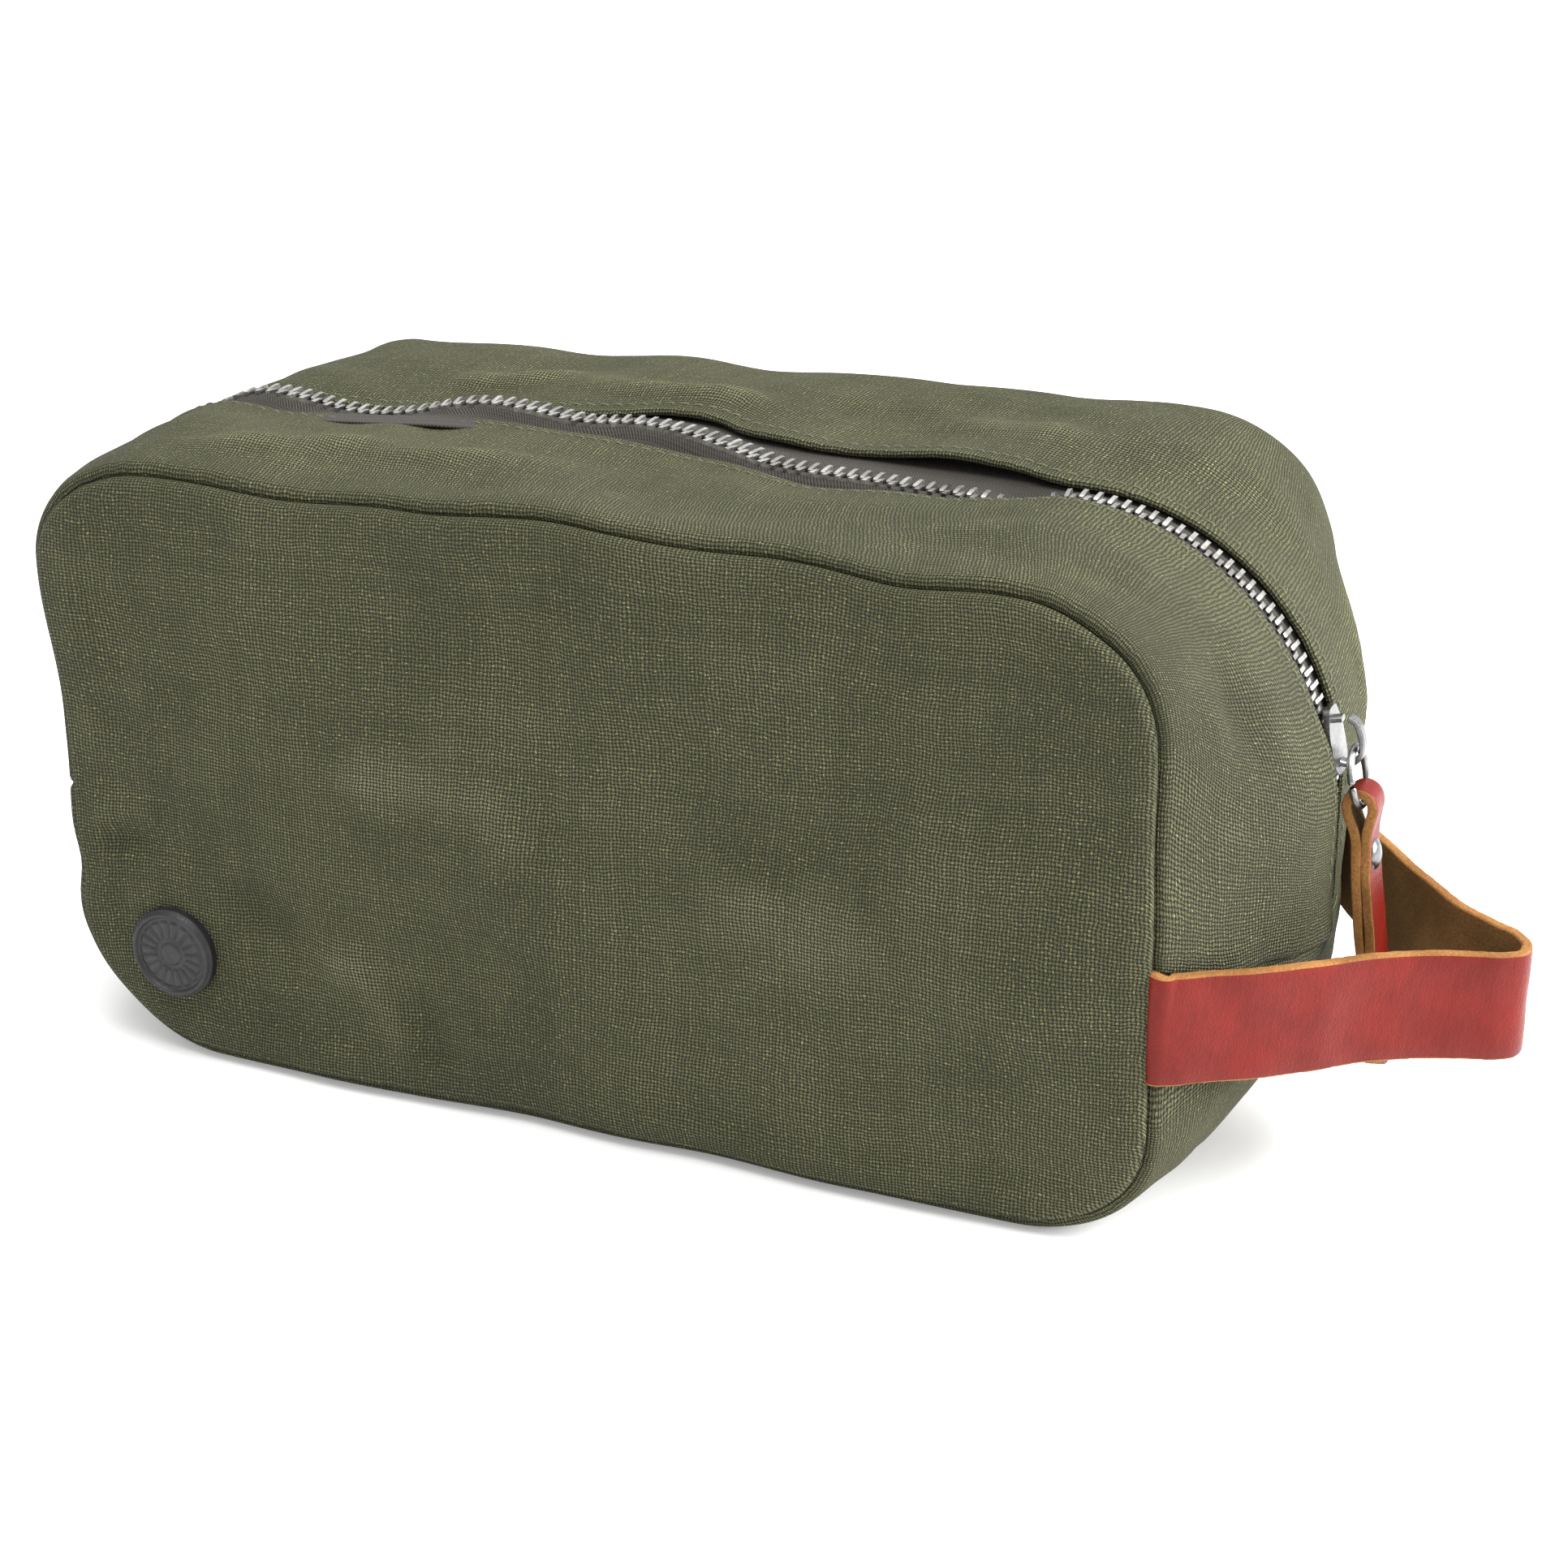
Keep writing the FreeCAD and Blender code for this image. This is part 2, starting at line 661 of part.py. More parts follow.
def lathe(node, profile, placement):
    """A turned piece: a half profile revolved about the body's Z axis."""
    body = doc.addObject("PartDesign::Body", node)
    sketch = new_sketch(body, "half_profile", "XZ_Plane")
    closed_polygon(sketch, profile)
    turn = body.newObject("PartDesign::Revolution", "turned")
    turn.Profile = sketch
    turn.ReferenceAxis = (sketch, ["V_Axis"])
    turn.Angle = 360
    sketch.Visibility = False
    body.Placement = placement
    return keep(body, node)


def make_rivet():
    """A domed cap and its shank on the tab's outer face, and the washer clenched inside."""
    leather = size("leather_thickness")
    shank = size("rivet_shank_radius")
    head = size("rivet_head_radius")
    tall = size("rivet_head_height")
    face = FreeCAD.Placement(V(0, 0, -size("rivet_drop")), FreeCAD.Rotation(ACROSS, 90))
    placement = tab_placement().multiply(face)
    cap = [(0, -leather), (shank, -leather), (shank, leather), (head, leather),
           (head, leather + 0.25 * tall), (0.75 * head, leather + 0.75 * tall),
           (0.4 * head, leather + 0.95 * tall), (0, leather + tall)]
    lathe("rivet_cap", cap, placement)
    washer = [(0, -leather - 0.7), (head * 0.8, -leather - 0.7), (head, -leather - 0.4),
              (head, -leather), (0, -leather)]
    lathe("rivet_washer", washer, placement)


# ---------------------------------------------------------------- strap and badge


def make_strap():
    """A flat strap whose ends are sewn to the end seams, bent into a pointed loop."""
    bend = size("strap_bend_radius")
    thick = size("strap_thickness")
    centre = size("strap_reach") - bend
    spread = size("strap_end_half_spread")
    half_turn = math.sin(math.radians(45))

    def leg(radius):
        tangent = V(centre + radius * half_turn, radius * half_turn, 0)
        end = V(tangent.x + tangent.y - spread, spread, 0)
        return tangent, end

    outer_tangent, outer_end = leg(bend)
    inner_tangent, inner_end = leg(bend - thick)

    def mirrored(point):
        return V(point.x, -point.y, 0)

    edges = [
        Part.makeLine(outer_end, outer_tangent),
        Part.Arc(outer_tangent, V(centre + bend, 0, 0), mirrored(outer_tangent)).toShape(),
        Part.makeLine(mirrored(outer_tangent), mirrored(outer_end)),
        Part.makeLine(mirrored(outer_end), mirrored(inner_end)),
        Part.makeLine(mirrored(inner_end), mirrored(inner_tangent)),
        Part.Arc(mirrored(inner_tangent), V(centre + bend - thick, 0, 0), inner_tangent).toShape(),
        Part.makeLine(inner_tangent, inner_end),
        Part.makeLine(inner_end, outer_end),
    ]
    wide = size("strap_width")
    strap = Part.Face(Part.Wire(edges)).extrude(V(0, 0, wide))
    strap.translate(V(-size("seam_right"), 0, -wide / 2))
    strap.rotate(V(0, 0, 0), ACROSS, size("strap_droop"))
    strap.translate(V(size("seam_right"), 0, size("strap_height")))
    bag = envelope(-size("sewing_gap"), HALF_DEPTH)
    feature("handle_strap", largest(strap.cut(bag)))


def make_badge():
    """A round badge with a raised rim, its shank through the panel, and the backing washer."""
    radius = size("badge_radius")
    thick = size("badge_thickness")
    shank = size("badge_shank_radius")
    place = V(size("badge_across"), -HALF_DEPTH, size("badge_height"))
    turn = FreeCAD.Rotation(V(1, 0, 0), 90)
    through = HALF_DEPTH - LINING_BAND_HALF
    rim = 0.8
    profile = [(0, -through), (shank, -through), (shank, 0), (radius, 0),
               (radius, thick - rim), (radius - rim, thick), (radius - 2 * rim, thick),
               (radius - 2.5 * rim, thick - rim), (0, thick - rim)]
    lathe("badge", profile, FreeCAD.Placement(place, turn))
    back = size("backing_radius")
    deep = through + size("backing_thickness")
    washer = [(0, -deep), (back, -deep), (back, -through), (0, -through)]
    lathe("badge_backing", washer, FreeCAD.Placement(place, turn))


def check_and_write():
    """Stop on any failed object or bad shape, then write one STEP file for each sub-part."""
    for obj in doc.Objects:
        if "Invalid" in obj.State or "Error" in obj.State:
            raise RuntimeError("%s failed: %s" % (obj.Label, obj.State))
    for obj in NODES:
        if obj.Shape.isNull() or not obj.Shape.isValid():
            raise RuntimeError("%s has a bad shape" % obj.Label)
    os.makedirs("parts", exist_ok=True)
    for obj in NODES:
        obj.Shape.exportStep("parts/%s.step" % obj.Label)
        print("%-22s solids %3d volume %9.1f" % (obj.Label, len(obj.Shape.Solids), obj.Shape.Volume))


make_panels()
make_gussets()
make_linings()
make_seam_bindings()
make_zip_tapes()
make_teeth()
make_stops()
make_slider()
make_ring()
make_pull_tab()
make_rivet()
make_strap()
make_badge()
doc.recompute()
check_and_write()
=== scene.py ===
"""Canvas toiletry bag with a metal zip, a leather wrist strap and a leather zip pull.

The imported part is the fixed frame. The shape code works in millimetres along the frame's axes: the
origin is at the middle of the base, +X points to the strap's end and -Y to the front panel.
"""

import json
import math

import bmesh
import bpy
import numpy as np
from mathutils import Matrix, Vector, noise


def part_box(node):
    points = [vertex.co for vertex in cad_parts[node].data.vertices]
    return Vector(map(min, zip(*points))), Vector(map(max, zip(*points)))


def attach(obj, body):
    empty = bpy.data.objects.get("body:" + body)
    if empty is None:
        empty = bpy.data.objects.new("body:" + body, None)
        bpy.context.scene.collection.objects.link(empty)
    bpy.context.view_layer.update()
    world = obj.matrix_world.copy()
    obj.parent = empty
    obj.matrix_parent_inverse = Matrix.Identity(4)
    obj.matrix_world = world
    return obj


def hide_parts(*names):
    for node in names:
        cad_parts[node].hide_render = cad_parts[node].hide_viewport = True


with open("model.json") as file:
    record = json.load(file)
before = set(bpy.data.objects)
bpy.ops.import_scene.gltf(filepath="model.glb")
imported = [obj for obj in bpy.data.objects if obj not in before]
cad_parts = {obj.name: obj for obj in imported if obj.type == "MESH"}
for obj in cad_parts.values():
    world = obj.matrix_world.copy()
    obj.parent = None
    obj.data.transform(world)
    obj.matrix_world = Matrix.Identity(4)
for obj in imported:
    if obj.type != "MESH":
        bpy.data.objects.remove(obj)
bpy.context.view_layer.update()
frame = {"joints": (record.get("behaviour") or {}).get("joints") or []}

MM = 0.001
RIGHT_ANGLE = math.pi / 2
NOISE_SEED = 1
noise.seed_set(NOISE_SEED)


def box_mm(node):
    """Lowest and highest corner of a CAD node, in millimetres."""
    low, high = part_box(node)
    return np.array(low) / MM, np.array(high) / MM


def unit(vectors):
    """Vectors scaled to a length of 1."""
    return vectors / np.linalg.norm(vectors, axis=-1, keepdims=True)


def runs_along(points):
    """Distance along a line of points to each of them."""
    return np.append(0.0, np.cumsum(np.linalg.norm(np.diff(points, axis=0), axis=1)))


# ---------------------------------------------------------------- meshes


def grid_faces(rows, columns):
    """Quads over points that are stored row by row."""
    row = np.arange(rows - 1)[:, None]
    column = np.arange(columns - 1)[None, :]
    near = row * columns + column
    corners = [near, near + 1, near + columns + 1, near + columns]
    return np.stack(corners, axis=-1).reshape(-1, 4)


def make_piece(name, points, faces, materials, body, uv=None, wear_and_shade=None, face_slots=None):
    """A smooth mesh piece from points in millimetres, riding on a body."""
    mesh = bpy.data.meshes.new(name)
    corners_by_face = faces.tolist() if isinstance(faces, np.ndarray) else faces
    mesh.from_pydata((np.asarray(points) * MM).tolist(), [], corners_by_face)
    for material in materials:
        mesh.materials.append(material)
    if uv is not None:
        corners = np.empty(len(mesh.loops), np.int32)
        mesh.loops.foreach_get("vertex_index", corners)
        layer = mesh.uv_layers.new(name="flat")
        layer.data.foreach_set("uv", (np.asarray(uv)[corners] * MM).astype(np.float32).ravel())
    # Per-point wear value: above zero it is rubbed wear, below zero the canvas shader paints shade
    # into crease hollows.
    if wear_and_shade is not None:
        wear_and_shade_values = mesh.attributes.new("wear_and_shade", "FLOAT", "POINT")
        wear_and_shade_values.data.foreach_set("value", np.asarray(wear_and_shade).astype(np.float32).ravel())
    if face_slots is not None:
        mesh.polygons.foreach_set("material_index", np.asarray(face_slots, np.int32))
    mesh.polygons.foreach_set("use_smooth", np.ones(len(mesh.polygons), bool))
    mesh.update()
    made = bpy.data.objects.new(name, mesh)
    bpy.context.scene.collection.objects.link(made)
    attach(made, body)
    return made


def close_up(piece):
    """Join points that coincide, such as where a tube's seam meets, and turn all faces outwards."""
    shape = bmesh.new()
    shape.from_mesh(piece.data)
    bmesh.ops.remove_doubles(shape, verts=shape.verts, dist=0.01 * MM)
    bmesh.ops.recalc_face_normals(shape, faces=shape.faces)
    shape.to_mesh(piece.data)
    shape.free()


def take_points(shape):
    """The points and faces of a finished bmesh, which is freed."""
    shape.verts.index_update()
    points = np.array([v.co for v in shape.verts])
    faces = [[v.index for v in f.verts] for f in shape.faces]
    shape.free()
    return points, faces


def add_prism(shape, near, far):
    """A solid between two matching outlines, and its faces."""
    near = [shape.verts.new(place) for place in near]
    far = [shape.verts.new(place) for place in far]
    made = [shape.faces.new(near), shape.faces.new(far[::-1])]
    for index in range(len(near)):
        after = (index + 1) % len(near)
        made.append(shape.faces.new((near[after], near[index], far[index], far[after])))
    return made


def sharp_edges(piece, angle=40):
    """Flat faces with soft bevels keep their own shading."""
    bpy.context.view_layer.objects.active = piece
    for other in bpy.context.selected_objects:
        other.select_set(False)
    piece.select_set(True)
    bpy.ops.object.shade_smooth_by_angle(angle=math.radians(angle))
    piece.select_set(False)


def smooth_line(points):
    """A function through listed (place, value, ...) points, level beyond both ends."""
    table = np.array(points, float)
    places = table[:, 0]
    values = table[:, 1:]
    slopes = np.gradient(values, places, axis=0)
    slopes[0] = 0.0
    slopes[-1] = 0.0

    def at(place):
        place = np.clip(place, places[0], places[-1])
        index = np.clip(np.searchsorted(places, place, side="right") - 1, 0, len(places) - 2)
        span = (places[index + 1] - places[index])[..., None]
        f = (place - places[index])[..., None] / span
        start = values[index] * (1 + 2 * f) * (1 - f) ** 2
        end = values[index + 1] * f * f * (3 - 2 * f)
        leave = slopes[index] * span * f * (1 - f) ** 2
        arrive = slopes[index + 1] * span * f * f * (f - 1)
        return start + end + leave + arrive

    return at


def ease(share):
    """0 to 1 with level ends."""
    share = np.clip(share, 0.0, 1.0)
    return share * share * (3 - 2 * share)


# ---------------------------------------------------------------- the bag's plain shape


class Outline:
    """A rectangle with four rounded corners in the XZ plane.

    A place on it is u: 0 to 1 is the bottom right corner, 1 to 2 the right side, and so on
    anticlockwise up to 8.
    """

    def __init__(self, left, right, top, bottom_right, top_right, top_left, bottom_left):
        self.corners = np.array([
            (right - bottom_right, bottom_right, bottom_right, -RIGHT_ANGLE),
            (right - top_right, top - top_right, top_right, 0.0),
            (left + top_left, top - top_left, top_left, RIGHT_ANGLE),
            (left + bottom_left, bottom_left, bottom_left, 2 * RIGHT_ANGLE),
        ])

    def at(self, u):
        """Places (x, z) and outward normals (x, z)."""
        u = np.mod(np.asarray(u, float), 8.0)
        index = np.floor(u).astype(int)
        f = u - index
        here = self.corners[index // 2]
        after = self.corners[(index // 2 + 1) % 4]
        curved = index % 2 == 0
        angle = here[..., 3] + np.where(curved, f, 1.0) * RIGHT_ANGLE
        out = np.stack([np.cos(angle), np.sin(angle)], axis=-1)
        start = here[..., :2] + here[..., 2:3] * out
        end = after[..., :2] + after[..., 2:3] * out
        along = np.where(curved, 0.0, f)[..., None]
        return start + (end - start) * along, out


panel_low, panel_high = box_mm("front_panel")
bulge_low, bulge_high = box_mm("top_gusset_front")
HALF = -panel_low[1]
SEAM = Outline(panel_low[0], panel_high[0], panel_high[2], 30.0, 30.0, 24.0, 32.0)
BULGE = Outline(bulge_low[0], bulge_high[0], panel_high[2], 48.0, 60.0, 34.0, 45.0)
BADGE = np.mean(box_mm("badge"), axis=0)
CHAIN_DEPTH = 1.55
ROLL = 1.9
ROLL_START = ROLL * (1 + math.sqrt(2))
CURL = 0.85


def seam_lean(u):
    """The angle at which the bulging skin meets its rolled edge."""
    edge, out = SEAM.at(u)
    middle, _ = BULGE.at(u)
    bulge = np.sum((middle - edge) * out, axis=-1)
    return np.arctan(2 * bulge / (HALF - 4.0))


def fullness(u, y):
    """Share of the bulge that the skin has at a place across the bag: 1 in the middle."""
    start = HALF - ROLL_START + ROLL * np.sin(seam_lean(u))
    return np.clip(1 - (np.asarray(y) / start) ** 2, 0, 1)


def skin(u, y):
    """Points on the plain bag between its panels, and their outward normals."""
    share = fullness(u, y)[..., None]
    edge, out = SEAM.at(u)
    middle, _ = BULGE.at(u)
    sink = (ROLL - ROLL * np.cos(seam_lean(u)))[..., None]
    flat = edge + (middle - edge) * share - out * sink * (1 - share)
    points = np.stack([flat[..., 0], y, flat[..., 1]], axis=-1)
    normals = np.stack([out[..., 0], np.zeros_like(y), out[..., 1]], axis=-1)
    return points, normals


def side_u(side, y, z):
    """u on the right (1) or left (5) side where the skin is at a height."""
    share = fullness(side + 0.5, y)
    ends = []
    for u in (side, side + 1):
        edge, _ = SEAM.at(u)
        middle, _ = BULGE.at(u)
        ends.append(edge[1] * (1 - share) + middle[1] * share)
    return side + (z - ends[0]) / (ends[1] - ends[0])


def end_seam_height(y):
    """Height of the seam across each end, which rises towards the panels."""
    return 50.4 + 12.1 * np.abs(y / HALF) ** 1.4


# Places where the filled bag stands off its plain shape: centre, reach along each axis, shift.
SWELLS = [
    ((-125, -58, 106), (14, 30, 24), (-4.0, 0.0, 0.0)),
    ((-127, -58, 43), (12, 24, 7), (2.0, 0.4, 0.0)),
    ((-122, 62, 60), (14, 24, 30), (-2.5, 1.0, 0.0)),
    ((0, -62, 70), (90, 22, 44), (0.0, -2.2, 0.0)),
    ((0, 62, 70), (90, 22, 44), (0.0, 3.0, 0.0)),
    ((60, -62, 40), (46, 18, 26), (0.0, -1.4, 0.0)),
    ((-70, -62, 92), (40, 18, 24), (0.0, -1.2, 0.0)),
    ((-40, -62, 34), (26, 18, 16), (0.0, 1.6, 0.0)),
    ((-30, 48, 137), (80, 20, 20), (0.0, 0.0, 3.4)),
    ((60, 48, 137), (36, 20, 20), (0.0, 0.0, 3.0)),
    ((-116, 40, 132), (22, 30, 24), (2.5, 0.0, -1.2)),
    ((-130, -30, 74), (18, 50, 26), (-2.2, 0.0, 0.0)),
    ((-60, -34, 137), (30, 12, 20), (0.0, 0.0, 1.6)),
    ((10, -36, 137), (26, 12, 20), (0.0, 0.0, -1.5)),
    ((140, 36, 76), (20, 18, 26), (-1.6, 0.0, 0.0)),
    ((104, 46, 132), (34, 24, 22), (0.6, 0.0, 3.2)),
    ((112, -48, 12), (24, 20, 18), (2.6, 0.0, 0.0)),
    ((140, -36, 76), (20, 12, 26), (-1.4, 0.0, 0.0)),
]


# Slackness of the whole bag: wavelength, seed, height.
SLACK = [(62.0, 1, 3.2), (27.0, 2, 1.8)]


def noise_vectors(points, wavelength, seed):
    """Smooth seeded noise, about -0.5 to 0.5 along each axis."""
    shift = Vector((seed * 17.3, seed * 5.1, seed * 9.7))
    return np.array([noise.noise_vector(Vector(p) / wavelength + shift) for p in points.tolist()])


def hold_still(points):
    """0 where the soft parts must keep to the plain shape, round the zip's run and the strap."""
    x, y, z = points[:, 0], points[:, 1], points[:, 2]
    along_zip = ease((x - 76) / 14) * (1 - ease((np.abs(y) - 12) / 20)) * ease((z - 52) / 10)
    at_strap = np.exp(-((x - 128) / 16) ** 2 - ((np.abs(y) - 60) / 14) ** 2 - ((z - 50) / 18) ** 2)
    from_badge = np.hypot(x - BADGE[0], z - BADGE[2])
    at_badge = (1 - ease((from_badge - 11) / 12)) * (y < 0)
    return (1 - along_zip) * (1 - at_strap) * (1 - at_badge)


def settle(points):
    """Move soft points by one shared field, so that pieces that meet stay together."""
    flat = points.reshape(-1, 3)
    shift = np.zeros_like(flat)
    for centre, reach, move in SWELLS:
        away = (flat - np.array(centre, float)) / np.array(reach, float)
        shift += np.exp(-np.sum(away ** 2, axis=1))[:, None] * np.array(move)
    for wavelength, seed, height in SLACK:
        shift += noise_vectors(flat, wavelength, seed) * height
    shift *= hold_still(flat)[:, None]
    shift[:, 2] *= ease(flat[:, 2] / 12)
    moved = flat + shift
    moved[:, 2] = np.maximum(moved[:, 2], 0.0)
    return moved.reshape(points.shape)


CREASE_SCALE = 2.3
FINE_CREASES = 0.8
# Soft creases in the waxed canvas: start, end, half width, height before the scale (below zero is
# a hollow).
CREASES = [
    ((-92, -63, 44), (-66, -63, 30), 7.0, -1.1),
    ((-66, -63, 34), (-34, -63, 10), 6.0, 1.3),
    ((-58, -63, 30), (-26, -63, 4), 6.0, -0.9),
    ((-126, -62, 44), (-96, -64, 50), 3.5, -1.0),
    ((-126, -62, 50), (-100, -64, 58), 4.0, 0.7),
    ((-60, -63, 78), (-6, -63, 66), 9.0, 0.8),
    ((20, -63, 60), (80, -63, 48), 10.0, 0.7),
    ((66, -63, 96), (108, -63, 84), 8.0, -0.6),
    ((-104, -46, 137), (-52, -30, 137), 5.0, 1.2),
    ((-60, -40, 137), (-14, -22, 137), 5.0, 1.0),
    ((-14, -50, 137), (40, -36, 137), 6.0, -0.5),
    ((30, -44, 137), (84, -30, 137), 5.0, 0.8),
    ((-76, 24, 137), (-40, 36, 137), 4.0, 1.2),
    ((-48, 30, 137), (12, 26, 137), 4.5, 1.4),
    ((8, 36, 137), (54, 32, 137), 4.5, -0.5),
    ((34, 34, 137), (90, 26, 137), 5.0, 0.9),
    ((118, -40, 122), (140, -28, 84), 6.0, -1.0),
    ((128, 44, 118), (142, 30, 74), 5.0, 1.0),
    ((136, -48, 40), (140, -20, 26), 6.0, 0.9),
    ((-50, 63, 96), (40, 63, 84), 9.0, 0.9),
    ((-96, 63, 40), (-40, 63, 22), 8.0, 1.1),
    ((60, 63, 50), (104, 63, 28), 8.0, -0.9),
]


def crease(points, normals, strength=1.0):
    """Push points along their normals by the soft creases and fine slackness of the cloth."""
    flat = points.reshape(-1, 3)
    lift = np.zeros(len(flat))
    for start, end, width, height in CREASES:
        start = np.array(start, float)
        run = np.array(end, float) - start
        share = np.clip(((flat - start) @ run) / (run @ run), -0.1, 1.1)
        bend = np.sin(share * math.pi) * 0.12
        sideways = np.cross(run, np.array((0.2, 0.9, 0.4)))
        nearest = start + share[:, None] * run + bend[:, None] * sideways
        away = np.linalg.norm(flat - nearest, axis=1) / width
        rise = np.sin(np.clip(share, 0.02, 0.98) * math.pi)
        lift += CREASE_SCALE * height * np.exp(-away ** 2) * rise
    fine = noise_vectors(flat, 11.0, 3)[:, 0] * FINE_CREASES
    lift = (lift + fine) * hold_still(flat) * np.broadcast_to(strength, points.shape[:-1]).ravel()
    moved = flat + normals.reshape(-1, 3) * lift[:, None]
    moved[:, 2] = np.maximum(moved[:, 2], 0.0)
    return moved.reshape(points.shape), lift.reshape(points.shape[:-1])


# ---------------------------------------------------------------- front and back panels


def roll_profile(turns, tuck, lean=0.0):
    """Distance in from the outline and depth below the face, over a rolled seam edge."""
    angles = np.linspace(lean, math.radians(135), turns)
    inward = ROLL_START - ROLL * np.sin(angles)
    depth = ROLL - ROLL * np.cos(angles)
    inward = np.append(inward, inward[-1] + tuck)
    depth = np.append(depth, depth[-1] + tuck)
    return inward, depth


def even_sides(inset, across, up):
    """u at even steps along the panel's four sides, each from one corner's middle to the next."""
    sides = []
    for start, count in ((6.5, across), (0.5, up), (2.5, across), (4.5, up)):
        fine = np.linspace(start, start + 2, 400)
        places, out = SEAM.at(fine)
        places = places - inset * out
        run = runs_along(places)
        sides.append(np.interp(np.linspace(0, run[-1], count + 1), run, fine))
    return sides


def inset_points(u, inset):
    """Points in the XZ plane inside the seam outline."""
    places, out = SEAM.at(u)
    return places - np.asarray(inset)[..., None] * out


def panel_shape(across, up, inset, rings, depths):
    """Points (x, z), depths and quads of a panel: a filled middle and rings out to its edge."""
    bottom, right, top, left = even_sides(inset, across, up)
    a = np.linspace(0, 1, across + 1)[None, :, None]
    b = np.linspace(0, 1, up + 1)[:, None, None]
    low = inset_points(bottom, inset)[None]
    high = inset_points(top, inset)[::-1][None]
    near = inset_points(left, inset)[::-1][:, None]
    far = inset_points(right, inset)[:, None]
    filled = (1 - b) * low + b * high + (1 - a) * near + a * far
    filled -= (1 - a) * (1 - b) * low[:, :1] + a * (1 - b) * low[:, -1:]
    filled -= (1 - a) * b * high[:, :1] + a * b * high[:, -1:]
    middle = filled.reshape(-1, 2)
    faces = [grid_faces(up + 1, across + 1)]
    index = np.arange(len(middle)).reshape(up + 1, across + 1)
    loop = np.concatenate([index[0, :-1], index[:-1, -1], index[-1, :0:-1], index[:0:-1, 0]])
    around = np.concatenate([bottom[:-1], right[:-1], top[:-1], left[:-1]])
    flat = [middle]
    deep = [np.zeros(len(middle))]
    used = len(middle)
    for ring, depth in zip(rings, depths):
        flat.append(inset_points(around, np.full(len(around), ring)))
        deep.append(np.full(len(around), depth))
        outer = np.arange(used, used + len(around))
        faces.append(np.stack([loop, outer, np.roll(outer, -1), np.roll(loop, -1)], axis=-1))
        loop = outer
        used += len(around)
    return np.concatenate(flat), np.concatenate(deep), np.concatenate(faces)


def edge_distance(flat):
    """How far points in the XZ plane are inside the seam outline, roughly."""
    fine, _ = SEAM.at(np.linspace(0, 8, 800, endpoint=False))
    distance = np.empty(len(flat))
    for start in range(0, len(flat), 4000):
        part = flat[start:start + 4000]
        gaps = np.linalg.norm(part[:, None] - fine[None], axis=2)
        distance[start:start + 4000] = gaps.min(axis=1)
    return distance


def panel_points(side, flat, depth):
    """Places of panel points in space, before they are creased."""
    puffed = 0.5 * np.exp(-((edge_distance(flat) - 8.5) / 3.5) ** 2)
    y = side * (HALF - depth + puffed)
    return np.stack([flat[:, 0], y, flat[:, 1]], axis=-1)


def make_panel(name, side, node, material):
    """A canvas panel that rolls into the seam all round."""
    rolled, rolled_depth = roll_profile(10, 2.2)
    rings = np.concatenate([[11.0, 9.5, 8.2, 7.0, 6.0, 5.2], rolled])
    depths = np.concatenate([np.zeros(6), rolled_depth])
    flat, depth, faces = panel_shape(132, 72, 12.5, rings, depths)
    plain = panel_points(side, flat, depth)
    normals = np.tile((0.0, float(side), 0.0), (len(flat), 1))
    inside = ease((edge_distance(flat) - 5) / 8)
    points, lift = crease(settle(plain), normals, inside)
    crest = 0.3 * np.exp(-((depth - 0.5) / 0.6) ** 2) * (depth > 0)
    # Crease height and the seam roll's crest: rubbed wear above zero, painted crease shade below zero.
    wear_and_shade = 0.5 * lift + crest
    if side > 0:
        faces = faces[:, ::-1]
    uv = np.stack([flat[:, 0], flat[:, 1] + depth], axis=-1)
    piece = make_piece(name, points, faces, [material], "bag", uv, wear_and_shade)
    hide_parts(node)


# ---------------------------------------------------------------- folds along the zip

# Along the top run: x, distance from the middle of the bag, height off the plain shape.
FRONT_FOLD = smooth_line([
    (-138, 6.2, 0.3), (-124, 6.0, 0.4), (-110, 4.6, 0.4), (-100, 3.4, 0.3), (-90, 1.6, 0.8),
    (-75, 0.4, 1.7), (-60, 0.0, 2.7), (-50, -1.4, 2.6), (-32, -0.4, 2.0), (-16, -0.2, 1.2),
    (1, 1.2, -0.4), (21, 5.8, -1.9), (29, 6.4, -3.2), (45, 7.2, -3.6), (60, 7.0, -3.0),
    (67, 5.2, -2.3), (74, 4.2, -1.4), (84, 5.7, 0.5), (92, 6.2, 0.7), (107, 6.2, 0.6),
    (122, 6.2, 0.4), (136, 6.2, 0.6), (140.5, 6.2, 1.1), (142.6, 6.2, 2.3), (143.5, 6.2, 2.6),
])
BACK_FOLD = smooth_line([
    (-138, 6.2, 0.3), (-124, 6.2, 0.4), (-112, 6.4, 0.4), (-100, 6.8, 0.5), (-88, 7.4, 0.5),
    (-70, 9.6, 1.2), (-55, 11.5, 1.9), (-38, 12.5, 1.9), (-26, 14.5, 2.3), (-15, 16.5, 2.9),
    (-2, 15.0, 2.4), (6, 11.5, 1.4), (18, 10.0, 0.8), (42, 9.0, 0.7), (65, 9.0, 0.7),
    (73, 8.6, 0.7), (85, 6.3, 0.0), (96, 6.2, 0.2), (143, 6.3, 0.3),
])
